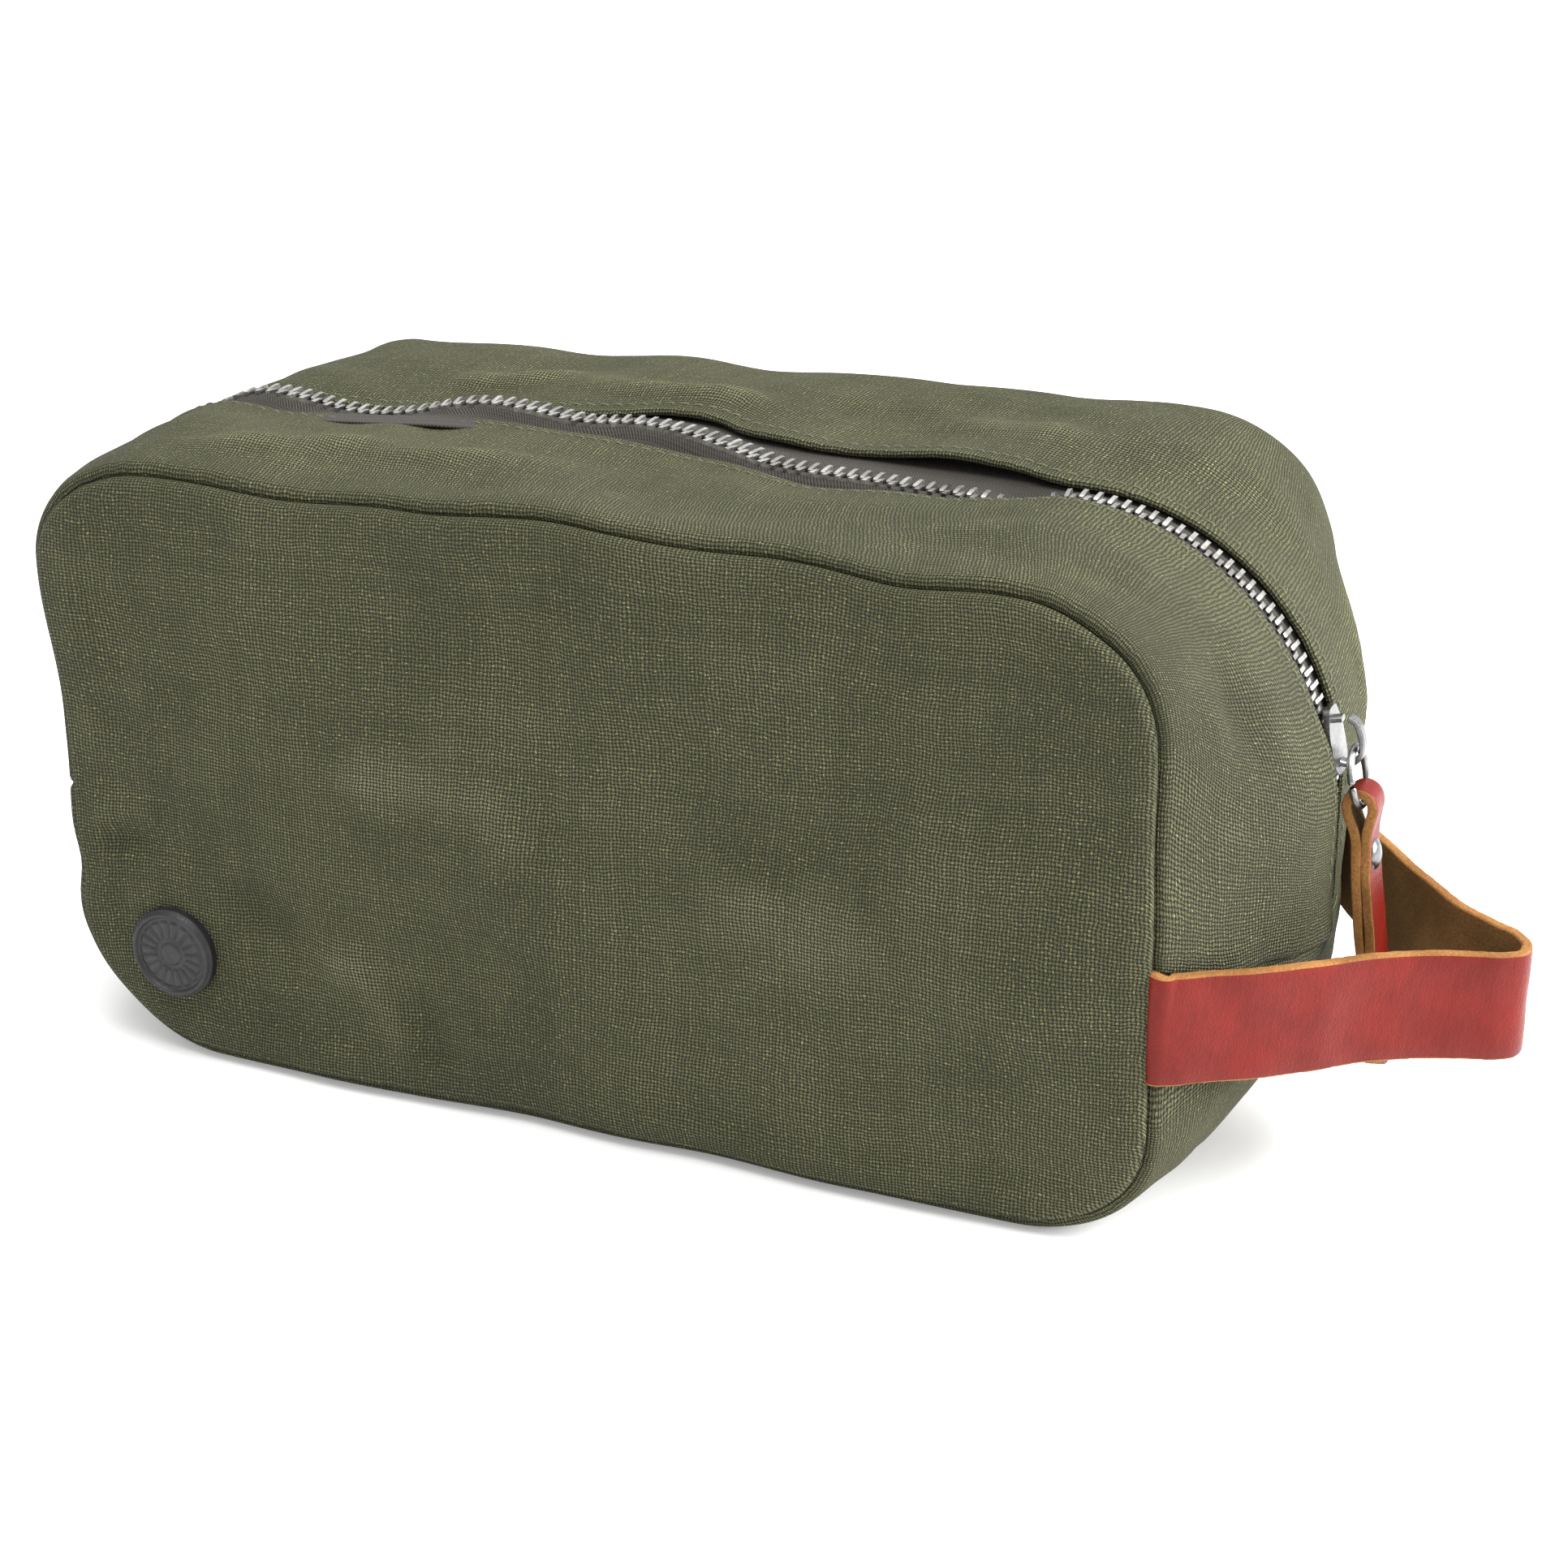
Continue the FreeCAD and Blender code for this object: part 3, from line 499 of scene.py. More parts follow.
# The chain's middle: x, y, height off its plain line.
CHAIN_SWAY = smooth_line([
    (-139, 0.0, 0.0), (-132, 0.3, 0.0), (-120, 1.6, 0.9), (-108, 2.8, 1.6), (-98, 2.1, 1.2),
    (-90, 2.4, -0.2), (-80, 2.8, -0.8), (-71, 3.6, 0.3), (-60, 5.1, 2.9), (-52, 6.5, 3.6),
    (-43, 6.1, 3.4), (-26, 4.5, 2.5), (-18, 5.4, 3.1), (-10, 5.4, 3.0), (-1, 4.1, 2.3),
    (10, 1.6, 0.9), (19, -0.8, -0.4), (27, -1.5, -0.8), (43, -2.0, -1.1), (58, -2.7, -1.6),
    (66, -2.6, -1.9), (72, -2.2, -2.8), (78, -1.4, -2.3), (84, -0.3, -0.3), (88, 0.0, 0.0),
])


def fold_line(side, u):
    """The fold's distance from the bag's middle on its own side, and its height."""
    middle, _ = BULGE.at(u)
    line = (FRONT_FOLD if side < 0 else BACK_FOLD)(middle[..., 0])
    return line[..., 0], line[..., 1]


def flap_lift(side, u, m):
    """How high a top flap stands off the plain shape, m from the bag's middle on its side."""
    fold, height = fold_line(side, u)
    start = HALF - ROLL_START
    share = (start - m) / (start - fold - CURL)
    swell = 0.9 * np.sin(np.clip(share, 0, 1) * math.pi)
    puffed = 0.3 * np.exp(-((m - start + 3) / 3.5) ** 2)
    return height * ease(share) + swell + puffed


def band_stations(upward, fine_roll, step):
    """Places along a band from the right end seam to the left one: kind, value, depth."""
    angles = np.radians(np.linspace(0, 90, fine_roll))
    roll = 1.7
    rolled = [(roll - roll * math.sin(a), roll - roll * math.cos(a)) for a in angles]
    ends = [(e, depth) for e, depth in rolled[::-1]]
    near = [(0.0, 3.6)] + ends + [(2.4, 0.0), (3.6, 0.0), (5.0, 0.0)]
    stations = [("right", e, depth) for e, depth in near]
    lengths = (30, 94, 190, 54, 45) if upward else (20, 60, 187, 62, 18)
    for stretch, length in enumerate(lengths):
        count = int(length / step)
        for index in range(count):
            stations.append(("run", stretch + (index + 0.5) / count, 0.0))
    stations += [("left", e, depth) for e, depth in near[::-1]]
    return stations


def station_u(station, y, upward):
    """u of one station of a band, for each place across the bag."""
    kind, value, _ = station
    seam = end_seam_height(y)
    way = 1 if upward else -1
    if kind == "right":
        return side_u(1, y, seam + way * value)
    if kind == "left":
        return side_u(5, y, seam + way * value) - (0 if upward else 8)
    stretch = min(int(value), 4)
    f = value - stretch
    first = side_u(1, y, seam + way * 5.5)
    last = side_u(5, y, seam + way * 5.5)
    if upward:
        stops = [first, 2.0, 3.0, 4.0, 5.0, last]
    else:
        stops = [first, 1.0, 0.0, -1.0, -2.0, last - 8]
    return stops[stretch] + (stops[stretch + 1] - stops[stretch]) * f + np.zeros_like(y)


def band_uv(points):
    """Flat places of a band's points: the run along the band and the distance across it."""
    steps = np.linalg.norm(np.diff(points, axis=0), axis=2).mean(axis=1)
    across = np.linalg.norm(np.diff(points, axis=1), axis=2).mean(axis=0)
    run = np.append(0.0, np.cumsum(steps))[:, None]
    width = np.append(0.0, np.cumsum(across))[None]
    return np.stack(np.broadcast_arrays(run, width), axis=-1).reshape(-1, 2)


def edge_rows(side, station, upward):
    """Rows over a band's rolled edge, from its hidden end: distance from the middle, depth."""
    lean = float(seam_lean(station_u(station, side * (HALF - 3.0), upward)))
    across, inward = roll_profile(9, 2.2, lean)
    sink = ROLL - ROLL * math.cos(lean)
    return [(HALF - a, b - sink) for a, b in zip(across[::-1], inward[::-1])]


def top_rows(side, station):
    """Places across a top flap from its seam to under its fold: distance from the middle, depth."""
    rows = edge_rows(side, station, True)
    start = rows[-1][0]
    fold = float(fold_line(side, station_u(station, 0.0, True))[0])
    for share in np.linspace(0, 1, 28)[1:]:
        rows.append((start + (fold + CURL - start) * share, 0.0))
    for angle in np.radians(np.linspace(0, 180, 8))[1:]:
        rows.append((fold + CURL - CURL * math.sin(angle), CURL - CURL * math.cos(angle)))
    rows.append((fold + CURL + 2.5, 2 * CURL))
    rows.append((fold + CURL + 6.0, 2 * CURL))
    return np.array(rows)


def flap_points(side, u, m, depth):
    """Points on a top flap and their outward normals."""
    points, normals = skin(u, side * m)
    lift = flap_lift(side, u, m) - depth
    return settle(points + normals * lift[..., None]), normals


def make_top_gusset(name, side, node, material):
    """A top flap: rolled into the panel's seam, folded under along the zip."""
    stations = band_stations(True, 6, 1.7)
    m_rows = []
    u_rows = []
    depth_rows = []
    for station in stations:
        rows = top_rows(side, station)
        m_rows.append(rows[:, 0])
        u_rows.append(station_u(station, side * rows[:, 0], True))
        depth_rows.append(rows[:, 1] + station[2])
    m = np.array(m_rows)
    u = np.array(u_rows)
    depth = np.array(depth_rows)
    points, normals = flap_points(side, u, m, depth)
    fold, _ = fold_line(side, u)
    strength = ease((HALF - 5 - m) / 8) * ease((m - fold - 1) / 8)
    points, lift = crease(points, normals, strength)
    crest = np.exp(-((m - fold - 0.6) / 0.9) ** 2)
    uv = band_uv(points)
    faces = grid_faces(len(stations), m.shape[1])
    if side < 0:
        faces = faces[:, ::-1]
    # Crease height and the fold's crest: rubbed wear above zero, painted crease shade below zero.
    wear_and_shade = (0.5 * lift + 0.6 * crest).ravel()
    piece = make_piece(name, points.reshape(-1, 3), faces, [material], "bag", uv, wear_and_shade)
    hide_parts(node)


def make_bottom_gusset(material):
    """The band under the bag, rolled into both panels' seams and both end seams."""
    stations = band_stations(False, 6, 2.0)
    y_rows = []
    u_rows = []
    depth_rows = []
    for station in stations:
        near = np.array(edge_rows(-1, station, False))
        far = np.array(edge_rows(1, station, False))[::-1]
        between = np.linspace(-near[-1, 0], far[0, 0], 52)[1:-1]
        y = np.concatenate([-near[:, 0], between, far[:, 0]])
        y_rows.append(y)
        u_rows.append(station_u(station, y, False))
        depth = np.concatenate([near[:, 1], np.zeros(50), far[:, 1]])
        depth_rows.append(depth + station[2])
    y = np.array(y_rows)
    plain, normals = skin(np.array(u_rows), y)
    swell = 0.8 * (1 - (y / HALF) ** 2)
    plain = plain + normals * (swell - np.array(depth_rows))[..., None]
    points = settle(plain)
    strength = ease((HALF - 5 - np.abs(y)) / 8)
    points, lift = crease(points, normals, strength)
    uv = band_uv(points)
    faces = grid_faces(*y.shape)
    # Crease height: rubbed wear above zero, painted crease shade below zero.
    wear_and_shade = (0.5 * lift).ravel()
    piece = make_piece("canvas_bottom", points.reshape(-1, 3), faces, [material], "bag",
                       uv, wear_and_shade)
    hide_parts("bottom_gusset")


# ---------------------------------------------------------------- the zip

ZIP_END = box_mm("zip_top_stop_front")[0][2]
PITCH = 3.0
STITCH_STEP = 3.3
STITCH_LENGTH = 2.7


def chain_line():
    """The chain's middle line as points and outward directions, from its right-hand end."""
    start = side_u(1, 0.0, ZIP_END)
    end = side_u(5, 0.0, ZIP_END)
    u = np.linspace(start, end, 3000)
    points, normals = skin(u, np.zeros_like(u))
    sway = CHAIN_SWAY(points[:, 0])
    points = points + normals * (sway[:, 1:2] - CHAIN_DEPTH)
    points[:, 1] += sway[:, 0]
    return points, normals, runs_along(points), u


CHAIN_POINTS, CHAIN_OUT, CHAIN_RUN, CHAIN_U = chain_line()
SLIDER_RUN = 30.3


def on_chain(run):
    """Place, direction out, across and along the chain after a run from its right-hand end."""
    def pick(values, shift=0.0):
        return np.stack([np.interp(run + shift, CHAIN_RUN, column) for column in values.T], axis=-1)

    along = unit(pick(CHAIN_POINTS, 1.0) - pick(CHAIN_POINTS, -1.0))
    across = unit(np.cross(along, pick(CHAIN_OUT)))
    out = np.cross(across, along)
    return pick(CHAIN_POINTS), out, across, along


def row_shift(run):
    """How far each row of teeth stands aside from the closed chain, below the slider."""
    share = (SLIDER_RUN + 3.0 - run) / 8.5
    open_part = 2.1 * ease(share)
    low = np.clip((SLIDER_RUN - 5.5 - run) / (SLIDER_RUN - 5.5), 0, 1)
    return open_part - 0.9 * low


def tooth_template():
    """One tooth: a rounded bar with a narrower nose, X out, Y across and Z along the chain."""
    shape = bmesh.new()
    side = [(-0.9, 0.65), (-0.35, 0.85), (0.5, 0.9), (1.5, 1.05), (3.5, 1.05), (3.5, -1.05),
            (1.5, -1.05), (0.5, -0.9), (-0.35, -0.85), (-0.9, -0.65)]
    wide = [0.4, 0.5, 0.5, 0.46, 0.5, 0.5, 0.46, 0.5, 0.5, 0.4]
    near = [(x, y, -w) for (y, x), w in zip(side, wide)]
    far = [(x, y, w) for (y, x), w in zip(side, wide)]
    add_prism(shape, near, far)
    edges = [e for e in shape.edges if e.calc_face_angle(0) > 0.5]
    bmesh.ops.bevel(shape, geom=edges, offset=0.2, segments=2, affect="EDGES")
    bmesh.ops.recalc_face_normals(shape, faces=shape.faces)
    return take_points(shape)


def copies_of(faces, points_each, count):
    """Faces of a shape repeated for each of its copies."""
    return [[copy * points_each + corner for corner in face]
            for copy in range(count) for face in faces]


def along_chain(template, runs, side, shift):
    """Copies of a template's points set along the chain, and their faces."""
    points, faces = template
    place, out, across, along = on_chain(runs)
    y = side * (points[None, :, 1] + shift[:, None])
    spread = (place[:, None] + out[:, None] * points[None, :, 0:1] + across[:, None] * y[..., None]
              + along[:, None] * points[None, :, 2:3])
    turned = [face if side > 0 else face[::-1] for face in faces]
    return spread.reshape(-1, 3), copies_of(turned, len(points), len(runs))


def make_teeth(material):
    """Both rows of metal teeth."""
    template = tooth_template()
    first = 2.6 + PITCH / 2
    for name, side, lead, node in (("teeth_front", -1, 0.0, "zip_teeth_front"),
                                   ("teeth_back", 1, PITCH / 2, "zip_teeth_back")):
        runs = np.arange(first + lead, CHAIN_RUN[-1] - 4.6, PITCH)
        points, faces = along_chain(template, runs, side, row_shift(runs))
        piece = make_piece(name, points, faces, [material], "bag")
        sharp_edges(piece)
        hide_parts(node)


def make_tape(name, side, node, material):
    """A woven zip tape from the teeth to under the flap."""
    runs = np.arange(0.2, CHAIN_RUN[-1] - 0.2, 2.0)
    place, out, across, _ = on_chain(runs)
    u = np.interp(runs, CHAIN_RUN, CHAIN_U)
    sway = CHAIN_SWAY(BULGE.at(u)[0][:, 0])
    fold, _ = fold_line(side, u)
    shift = row_shift(runs)
    inner = 0.9 + shift
    centre = side * sway[:, 0]
    outer = fold + 9.0 - centre
    columns = np.linspace(0, 1, 16)
    d = inner[:, None] + (outer - inner)[:, None] * columns[None]
    m = centre[:, None] + d
    under = flap_lift(side, u[:, None], np.maximum(m, fold[:, None] + CURL)) - sway[:, 1:2] - 1.1
    reach = np.maximum(fold - centre - 4.0, 0.6)
    height = under * ease((d - 3.8) / reach[:, None])
    upper = place[:, None] + across[:, None] * (side * d)[..., None] + out[:, None] * height[..., None]
    lower = upper - out[:, None] * 0.5
    upper = upper + out[:, None] * 0.05
    loop = np.concatenate([upper, lower[:, ::-1], upper[:, :1]], axis=1)
    flat = np.concatenate([d, d[:, ::-1], d[:, :1]], axis=1)
    run_grid = np.broadcast_to(runs[:, None], flat.shape)
    uv = np.stack([run_grid, flat], axis=-1).reshape(-1, 2)
    faces = grid_faces(*flat.shape)
    piece = make_piece(name, loop.reshape(-1, 3), faces, [material], "bag", uv)
    close_up(piece)
    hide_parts(node)


def stitch_template(length, radius):
    """One thread stitch that dips into the cloth at both ends: Z along, X out."""
    rings = np.linspace(-1, 1, 7)
    points = []
    for t in rings:
        thin = radius * math.sqrt(max(1 - t ** 4, 0.08))
        lift = 0.28 * (1 - t * t) - 0.22
        for k in range(6):
            angle = k * math.pi / 3
            points.append((lift + thin * math.cos(angle), thin * math.sin(angle), t * length / 2))
    faces = []
    for ring in range(6):
        for k in range(6):
            a = ring * 6 + k
            b = ring * 6 + (k + 1) % 6
            faces.append([a, b, b + 6, a + 6])
    return np.array(points), faces


def make_topstitch(name, side, material):
    """The row of stitches beside the flap's fold."""
    runs = np.arange(4.0, CHAIN_RUN[-1] - 4.0, STITCH_STEP)
    u = np.interp(runs, CHAIN_RUN, CHAIN_U)
    fold, _ = fold_line(side, u)
    m = fold + 3.3
    here, normals = flap_points(side, u, m, np.zeros_like(m))
    ahead, _ = flap_points(side, u + 0.004, m, np.zeros_like(m))
    strength = ease((m - fold - 1) / 8)
    here, _ = crease(here, normals, strength)
    ahead, _ = crease(ahead, normals, strength)
    along = unit(ahead - here)
    across = unit(np.cross(normals, along))
    out = np.cross(along, across)
    points, faces = stitch_template(STITCH_LENGTH, 0.26)
    spread = (here[:, None] + out[:, None] * points[None, :, 0:1]
              + across[:, None] * points[None, :, 1:2] + along[:, None] * points[None, :, 2:3])
    every = copies_of(faces, len(points), len(runs))
    close_up(make_piece(name, spread.reshape(-1, 3), every, [material], "bag"))


def block_template(low_y, high_y, length, height):
    """A rounded block for a zip stop."""
    shape = bmesh.new()
    bmesh.ops.create_cube(shape, size=1.0)
    for v in shape.verts:
        v.co = Vector((v.co.x * height, (v.co.y + 0.5) * (high_y - low_y) + low_y, v.co.z * length))
    bmesh.ops.bevel(shape, geom=shape.edges[:], offset=0.5, segments=3, affect="EDGES")
    return take_points(shape)


def make_stops(material):
    """The clamped stops that end the chain."""
    last = CHAIN_RUN[-1]
    stops = [
        ("stop_right_front", "zip_top_stop_front", -1, 0.8, 4.5, 1.3),
        ("stop_right_back", "zip_top_stop_back", 1, 0.8, 4.5, 1.3),
        ("stop_left", "zip_bottom_stop", 1, -3.6, 3.6, last - 1.3),
    ]
    for name, node, side, low, high, run in stops:
        template = block_template(low, high, 2.6, 3.0)
        points, faces = along_chain(template, np.array([run]), side, np.array([0.0]))
        piece = make_piece(name, points, faces, [material], "bag")
        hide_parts(node)


# ---------------------------------------------------------------- inside the bag


def make_lining_panel(name, side, node, material):
    """The thin cloth behind a canvas panel."""
    rings = np.array([11.0, 8.0, 5.6])
    flat, depth, faces = panel_shape(60, 32, 14.0, rings, np.zeros(3))
    points = settle(panel_points(side, flat, depth + 3.0))
    piece = make_piece(name, points, faces, [material], "bag", flat)
    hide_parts(node)


def make_lining_top(name, side, node, material):
    """The thin cloth behind a top flap and its zip tape."""
    stations = band_stations(True, 2, 4.0)[4:-4]
    shares = np.linspace(0, 1, 16)
    m_rows = []
    for station in stations:
        fold, _ = fold_line(side, station_u(station, 0.0, True))
        m_rows.append(56.0 + (fold + 4.5 - 56.0) * shares)
    m = np.array(m_rows)
    u = np.array([station_u(s, side * row, True) for s, row in zip(stations, m)])
    points, _ = flap_points(side, u, m, np.full(m.shape, 3.6))
    faces = grid_faces(*m.shape)
    uv = band_uv(points)
    piece = make_piece(name, points.reshape(-1, 3), faces, [material], "bag", uv)
    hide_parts(node)


def make_lining_bottom(material):
    """The thin cloth over the bag's floor and low ends."""
    stations = band_stations(False, 2, 4.0)[4:-4]
    m = np.linspace(-56, 56, 30)
    u = np.array([station_u(station, m, False) for station in stations])
    y = np.broadcast_to(m, u.shape)
    plain, normals = skin(u, y)
    points = settle(plain - normals * 3.0)
    uv = band_uv(points)
    faces = grid_faces(*y.shape)
    flat = points.reshape(-1, 3)
    piece = make_piece("lining_floor", flat, faces, [material], "bag", uv)
    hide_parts("lining_bottom")


def make_binding(name, side, node, material):
    """Bias tape folded round the raw seam inside a panel."""
    section = [(5.2, 3.9), (6.0, 3.5), (10.4, 3.5), (11.0, 4.2), (10.4, 4.9), (6.0, 4.9), (5.2, 4.5),
               (5.2, 3.9)]
    u = np.linspace(0, 8, 360)
    rows = []
    for inset, depth in section:
        flat = inset_points(u, np.full(len(u), inset))
        rows.append(np.stack([flat[:, 0], np.full(len(u), side * (HALF - depth)), flat[:, 1]], -1))
    points = settle(np.stack(rows, axis=1))
    across = np.array([inset + depth for inset, depth in section])
    uv = np.stack(np.broadcast_arrays(u[:, None] * 90.0, across[None]), -1).reshape(-1, 2)
    faces = grid_faces(len(u), len(section))
    piece = make_piece(name, points.reshape(-1, 3), faces, [material], "bag", uv)
    close_up(piece)
    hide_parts(node)


# ---------------------------------------------------------------- leather


def band_section(thickness):
    """Round a strip's section: distance along its face's normal, share of its half width, part.

    Part 0 is the grain face, 1 a cut edge and 2 the flesh face.
    """
    half = thickness / 2
    shares = np.linspace(-0.965, 0.965, 9)
    section = [(half, share, 0) for share in shares]
    section += [(half - 0.18, 0.992, 1), (half - 0.55, 1.0, 1), (0.0, 1.0, 1),
                (0.55 - half, 1.0, 1), (0.18 - half, 0.992, 1)]
    section += [(-half, share, 2) for share in shares[::-1]]
    section += [(0.18 - half, -0.992, 1), (0.55 - half, -1.0, 1), (0.0, -1.0, 1),
                (half - 0.55, -1.0, 1), (half - 0.18, -0.992, 1)]
    return section + section[:1]


def make_band(name, centre, normal, side, half_width, thickness, materials, body):
    """A leather strip along a line: grain face out, flesh face in, fuzzy cut edges."""
    section = band_section(thickness)
    off = np.array([part[0] for part in section])
    share = np.array([part[1] for part in section])
    points = centre[:, None] + normal[:, None] * off[None, :, None]
    points = points + side[:, None] * (half_width[:, None] * share)[..., None]
    rough = noise_vectors(points.reshape(-1, 3), 1.1, 7)[:, 0].reshape(points.shape[:2])
    fuzzy = np.array([part[2] == 1 for part in section]) * 0.12
    waves = noise_vectors(points.reshape(-1, 3), 9.0, 8)[:, 1].reshape(points.shape[:2])
    points = points + side[:, None] * (rough * fuzzy * np.sign(share))[..., None]
    points = points + normal[:, None] * (waves * 0.35)[..., None]
    run = runs_along(centre)
    across = runs_along(np.stack([off, share * half_width.max()], -1))
    uv = np.stack(np.broadcast_arrays(run[:, None], across[None]), -1).reshape(-1, 2)
    columns = len(section)
    faces = grid_faces(len(centre), columns)
    parts = [1 if 1 in (a[2], b[2]) else a[2] for a, b in zip(section, section[1:])]
    slots = np.tile(parts, len(centre) - 1)
    first = np.arange(columns - 1)
    last = first + (len(centre) - 1) * columns
    piece = make_piece(name, points.reshape(-1, 3), faces, materials, body, uv, None, slots)
    cap_ends(piece, first, last)
    return piece


def cap_ends(piece, first, last):
    """Close the two ends of a strip, then join its long seam."""
    shape = bmesh.new()
    shape.from_mesh(piece.data)
    shape.verts.ensure_lookup_table()
    for ring in (first, last):
        face = shape.faces.new([shape.verts[index] for index in ring])
        face.material_index = 1
    shape.to_mesh(piece.data)
    shape.free()
    close_up(piece)


def along_points(points, count):
    """Even places along a smooth line through listed points."""
    table = np.array(points, float)
    chords = runs_along(table)
    line = smooth_line(np.column_stack([chords, table]))
    fine = line(np.linspace(0, chords[-1], 4000))
    run = runs_along(fine)
    even = np.linspace(0, run[-1], count)
    return np.stack([np.interp(even, run, column) for column in fine.T], -1)


# The wrist strap's middle line seen from above: x, y.
STRAP_LINE = [
    (122.4, -58.9), (123.8, -60.4), (125.4, -60.9), (127.3, -59.5), (133.1, -53.4), (140.8, -45.7),
    (150.9, -33.9), (158.5, -24.1), (166.9, -16.1), (175.6, -9.4), (181.0, -5.6), (184.3, -1.4),
    (184.2, 2.8), (181.2, 5.9), (176.2, 7.6), (168.6, 11.2), (159.6, 19.0), (150.0, 28.9),
    (141.8, 37.2), (134.9, 47.4), (129.4, 56.4), (126.8, 60.2), (124.4, 60.6), (122.6, 59.0),
]
STRAP_HALF = 11.7
STRAP_THICKNESS = 2.4


def make_strap(materials):
    """The wrist strap: one strip from seam to seam, bent round in a loop."""
    line = along_points(STRAP_LINE, 220)
    ahead = unit(np.gradient(line, axis=0))
    normal = np.stack([ahead[:, 1], -ahead[:, 0], np.zeros(len(line))], -1)
    top = 61.6 - 0.163 * (line[:, 0] - 126.0)
    centre = np.stack([line[:, 0], line[:, 1], top - STRAP_HALF], -1)
    side = np.cross(unit(np.gradient(centre, axis=0)), normal)
    side *= np.sign(side[:, 2:3])
    half = np.full(len(line), STRAP_HALF)
    piece = make_band("wrist_strap", centre, normal, side, half, STRAP_THICKNESS, materials, "bag")
    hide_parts("handle_strap")


JOINTS = {joint["name"]: joint for joint in frame["joints"]}
RING_TOP = np.array(JOINTS["pull_ring_swing"]["pos_m"], float) / MM
FOLD = np.array(JOINTS["pull_tab_swing"]["pos_m"], float) / MM
TAB_TILT = 7.2
TAB_LENGTH = 57.8
# Half of the tab's middle line from its outer tip to the top of its fold: out, up.
TAB_LINE = [
    (1.0, -TAB_LENGTH), (1.0, -46.0), (1.05, -30.0), (1.0, -18.0), (1.0, -11.0), (1.1, -8.0),
    (1.4, -5.2), (2.1, -2.6), (2.65, 0.0), (2.35, 1.7), (1.4, 2.8), (0.0, 3.2),
]


def tab_place(out, across, up):
    """Points in the tab's own frame, as they hang from the ring."""
    tilt = math.radians(TAB_TILT)
    x = FOLD[0] + out * math.cos(tilt) - up * math.sin(tilt)
    z = FOLD[2] + out * math.sin(tilt) + up * math.cos(tilt)
    return np.stack(np.broadcast_arrays(x, across, z), -1)


def make_tab(materials):
    """The pull tab: a strip folded over the ring, narrow at the fold and round at its ends."""
    line = TAB_LINE + [(-out, up) for out, up in TAB_LINE[-2::-1]]
    flat = along_points(line, 200)
    centre = tab_place(flat[:, 0], 0.0, flat[:, 1])
    side = np.tile((0.0, -1.0, 0.0), (len(centre), 1))
    normal = np.cross(unit(np.gradient(centre, axis=0)), side)
    up = flat[:, 1]
    half = 3.7 + 2.1 * ease((-up - 7.0) / 9.0)
    to_tip = np.clip((up + TAB_LENGTH) / 5.8, 0.0, 1.0)
    half *= np.sqrt(np.clip(1 - (1 - to_tip) ** 2, 0.004, 1.0))
    piece = make_band("pull_tab_leather", centre, normal, side, half, 2.0, materials, "tab")
    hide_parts("pull_tab")


# ---------------------------------------------------------------- turned and bent metal


def lathe_points(profile, count):
    """Points of a turned shape: profile of (radius, height), axis along Z."""
    angles = np.linspace(0, 2 * math.pi, count)
    radius = np.array([p[0] for p in profile])[:, None]
    height = np.array([p[1] for p in profile])[:, None]
    x = radius * np.cos(angles)
    y = radius * np.sin(angles)
    return np.stack(np.broadcast_arrays(x, y, height), -1)


def make_rivet(cap_metal):
    """The domed rivet head outside the tab and the pressed washer inside it."""
    drop = -10.8
    dome = [(0.0, 3.15), (0.7, 3.13), (1.4, 3.03), (2.1, 2.83), (2.7, 2.52), (3.1, 2.2), (3.28, 1.97),
            (3.25, 1.82), (3.05, 1.78), (1.25, 1.78), (1.25, -1.9), (0.0, -1.9)]
    washer = [(0.0, -2.5), (0.9, -2.52), (1.2, -2.66), (1.6, -2.7), (2.4, -2.62), (3.0, -2.4),
              (3.25, -2.1), (3.25, -1.85), (3.0, -1.8), (0.0, -1.8)]
    for name, profile, node in (("rivet_head", dome, "rivet_cap"),
                                ("rivet_back", washer, "rivet_washer")):
        turned = lathe_points(profile, 49)
        points = tab_place(turned[..., 2], turned[..., 1], drop + turned[..., 0])
        faces = grid_faces(*points.shape[:2])
        piece = make_piece(name, points.reshape(-1, 3), faces, [cap_metal], "tab")
        close_up(piece)
        sharp_edges(piece, 50)
        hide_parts(node)


def make_ring(metal):
    """The wire ring that joins the slider's hook to the tab, with its ends butted at one side."""
    low, high = box_mm("pull_ring")
    centre = (low + high) / 2
    down = unit(FOLD - RING_TOP)
    across = np.array((0.0, 1.0, 0.0))
    out = np.cross(across, down)
    sweep = np.radians(np.linspace(-176.5, 176.5, 120))[:, None]
    turn = np.linspace(0, 2 * math.pi, 17)[None]
    wire = 0.8 * np.sqrt(np.clip(1 - np.clip((np.abs(sweep) - 3.055) / 0.03, 0, 1) ** 4, 0.1, 1))
    radius = 6.0 + wire * np.cos(turn)
    level = wire * np.sin(turn)
    points = (centre + (radius * np.cos(sweep))[..., None] * across
              + (radius * np.sin(sweep))[..., None] * down + level[..., None] * out)
    piece = make_piece("pull_ring_wire", points.reshape(-1, 3), grid_faces(120, 17), [metal],
                       "ring")
    close_up(piece)
    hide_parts("pull_ring")


SLIDER_TILT = math.radians(13.5)


def slider_place(points):
    """Points in the slider's own frame (out, across, up the chain) at its rest place."""
    turn = BULGE.corners[1]
    along = np.array((-math.sin(SLIDER_TILT), 0.0, math.cos(SLIDER_TILT)))
    out = np.array((math.cos(SLIDER_TILT), 0.0, math.sin(SLIDER_TILT)))
    start = np.array((turn[0], 0.0, turn[1])) + out * turn[2]
    points = np.asarray(points, float)
    return start + points[..., :1] * out + points[..., 1:2] * (0, 1, 0) + points[..., 2:] * along


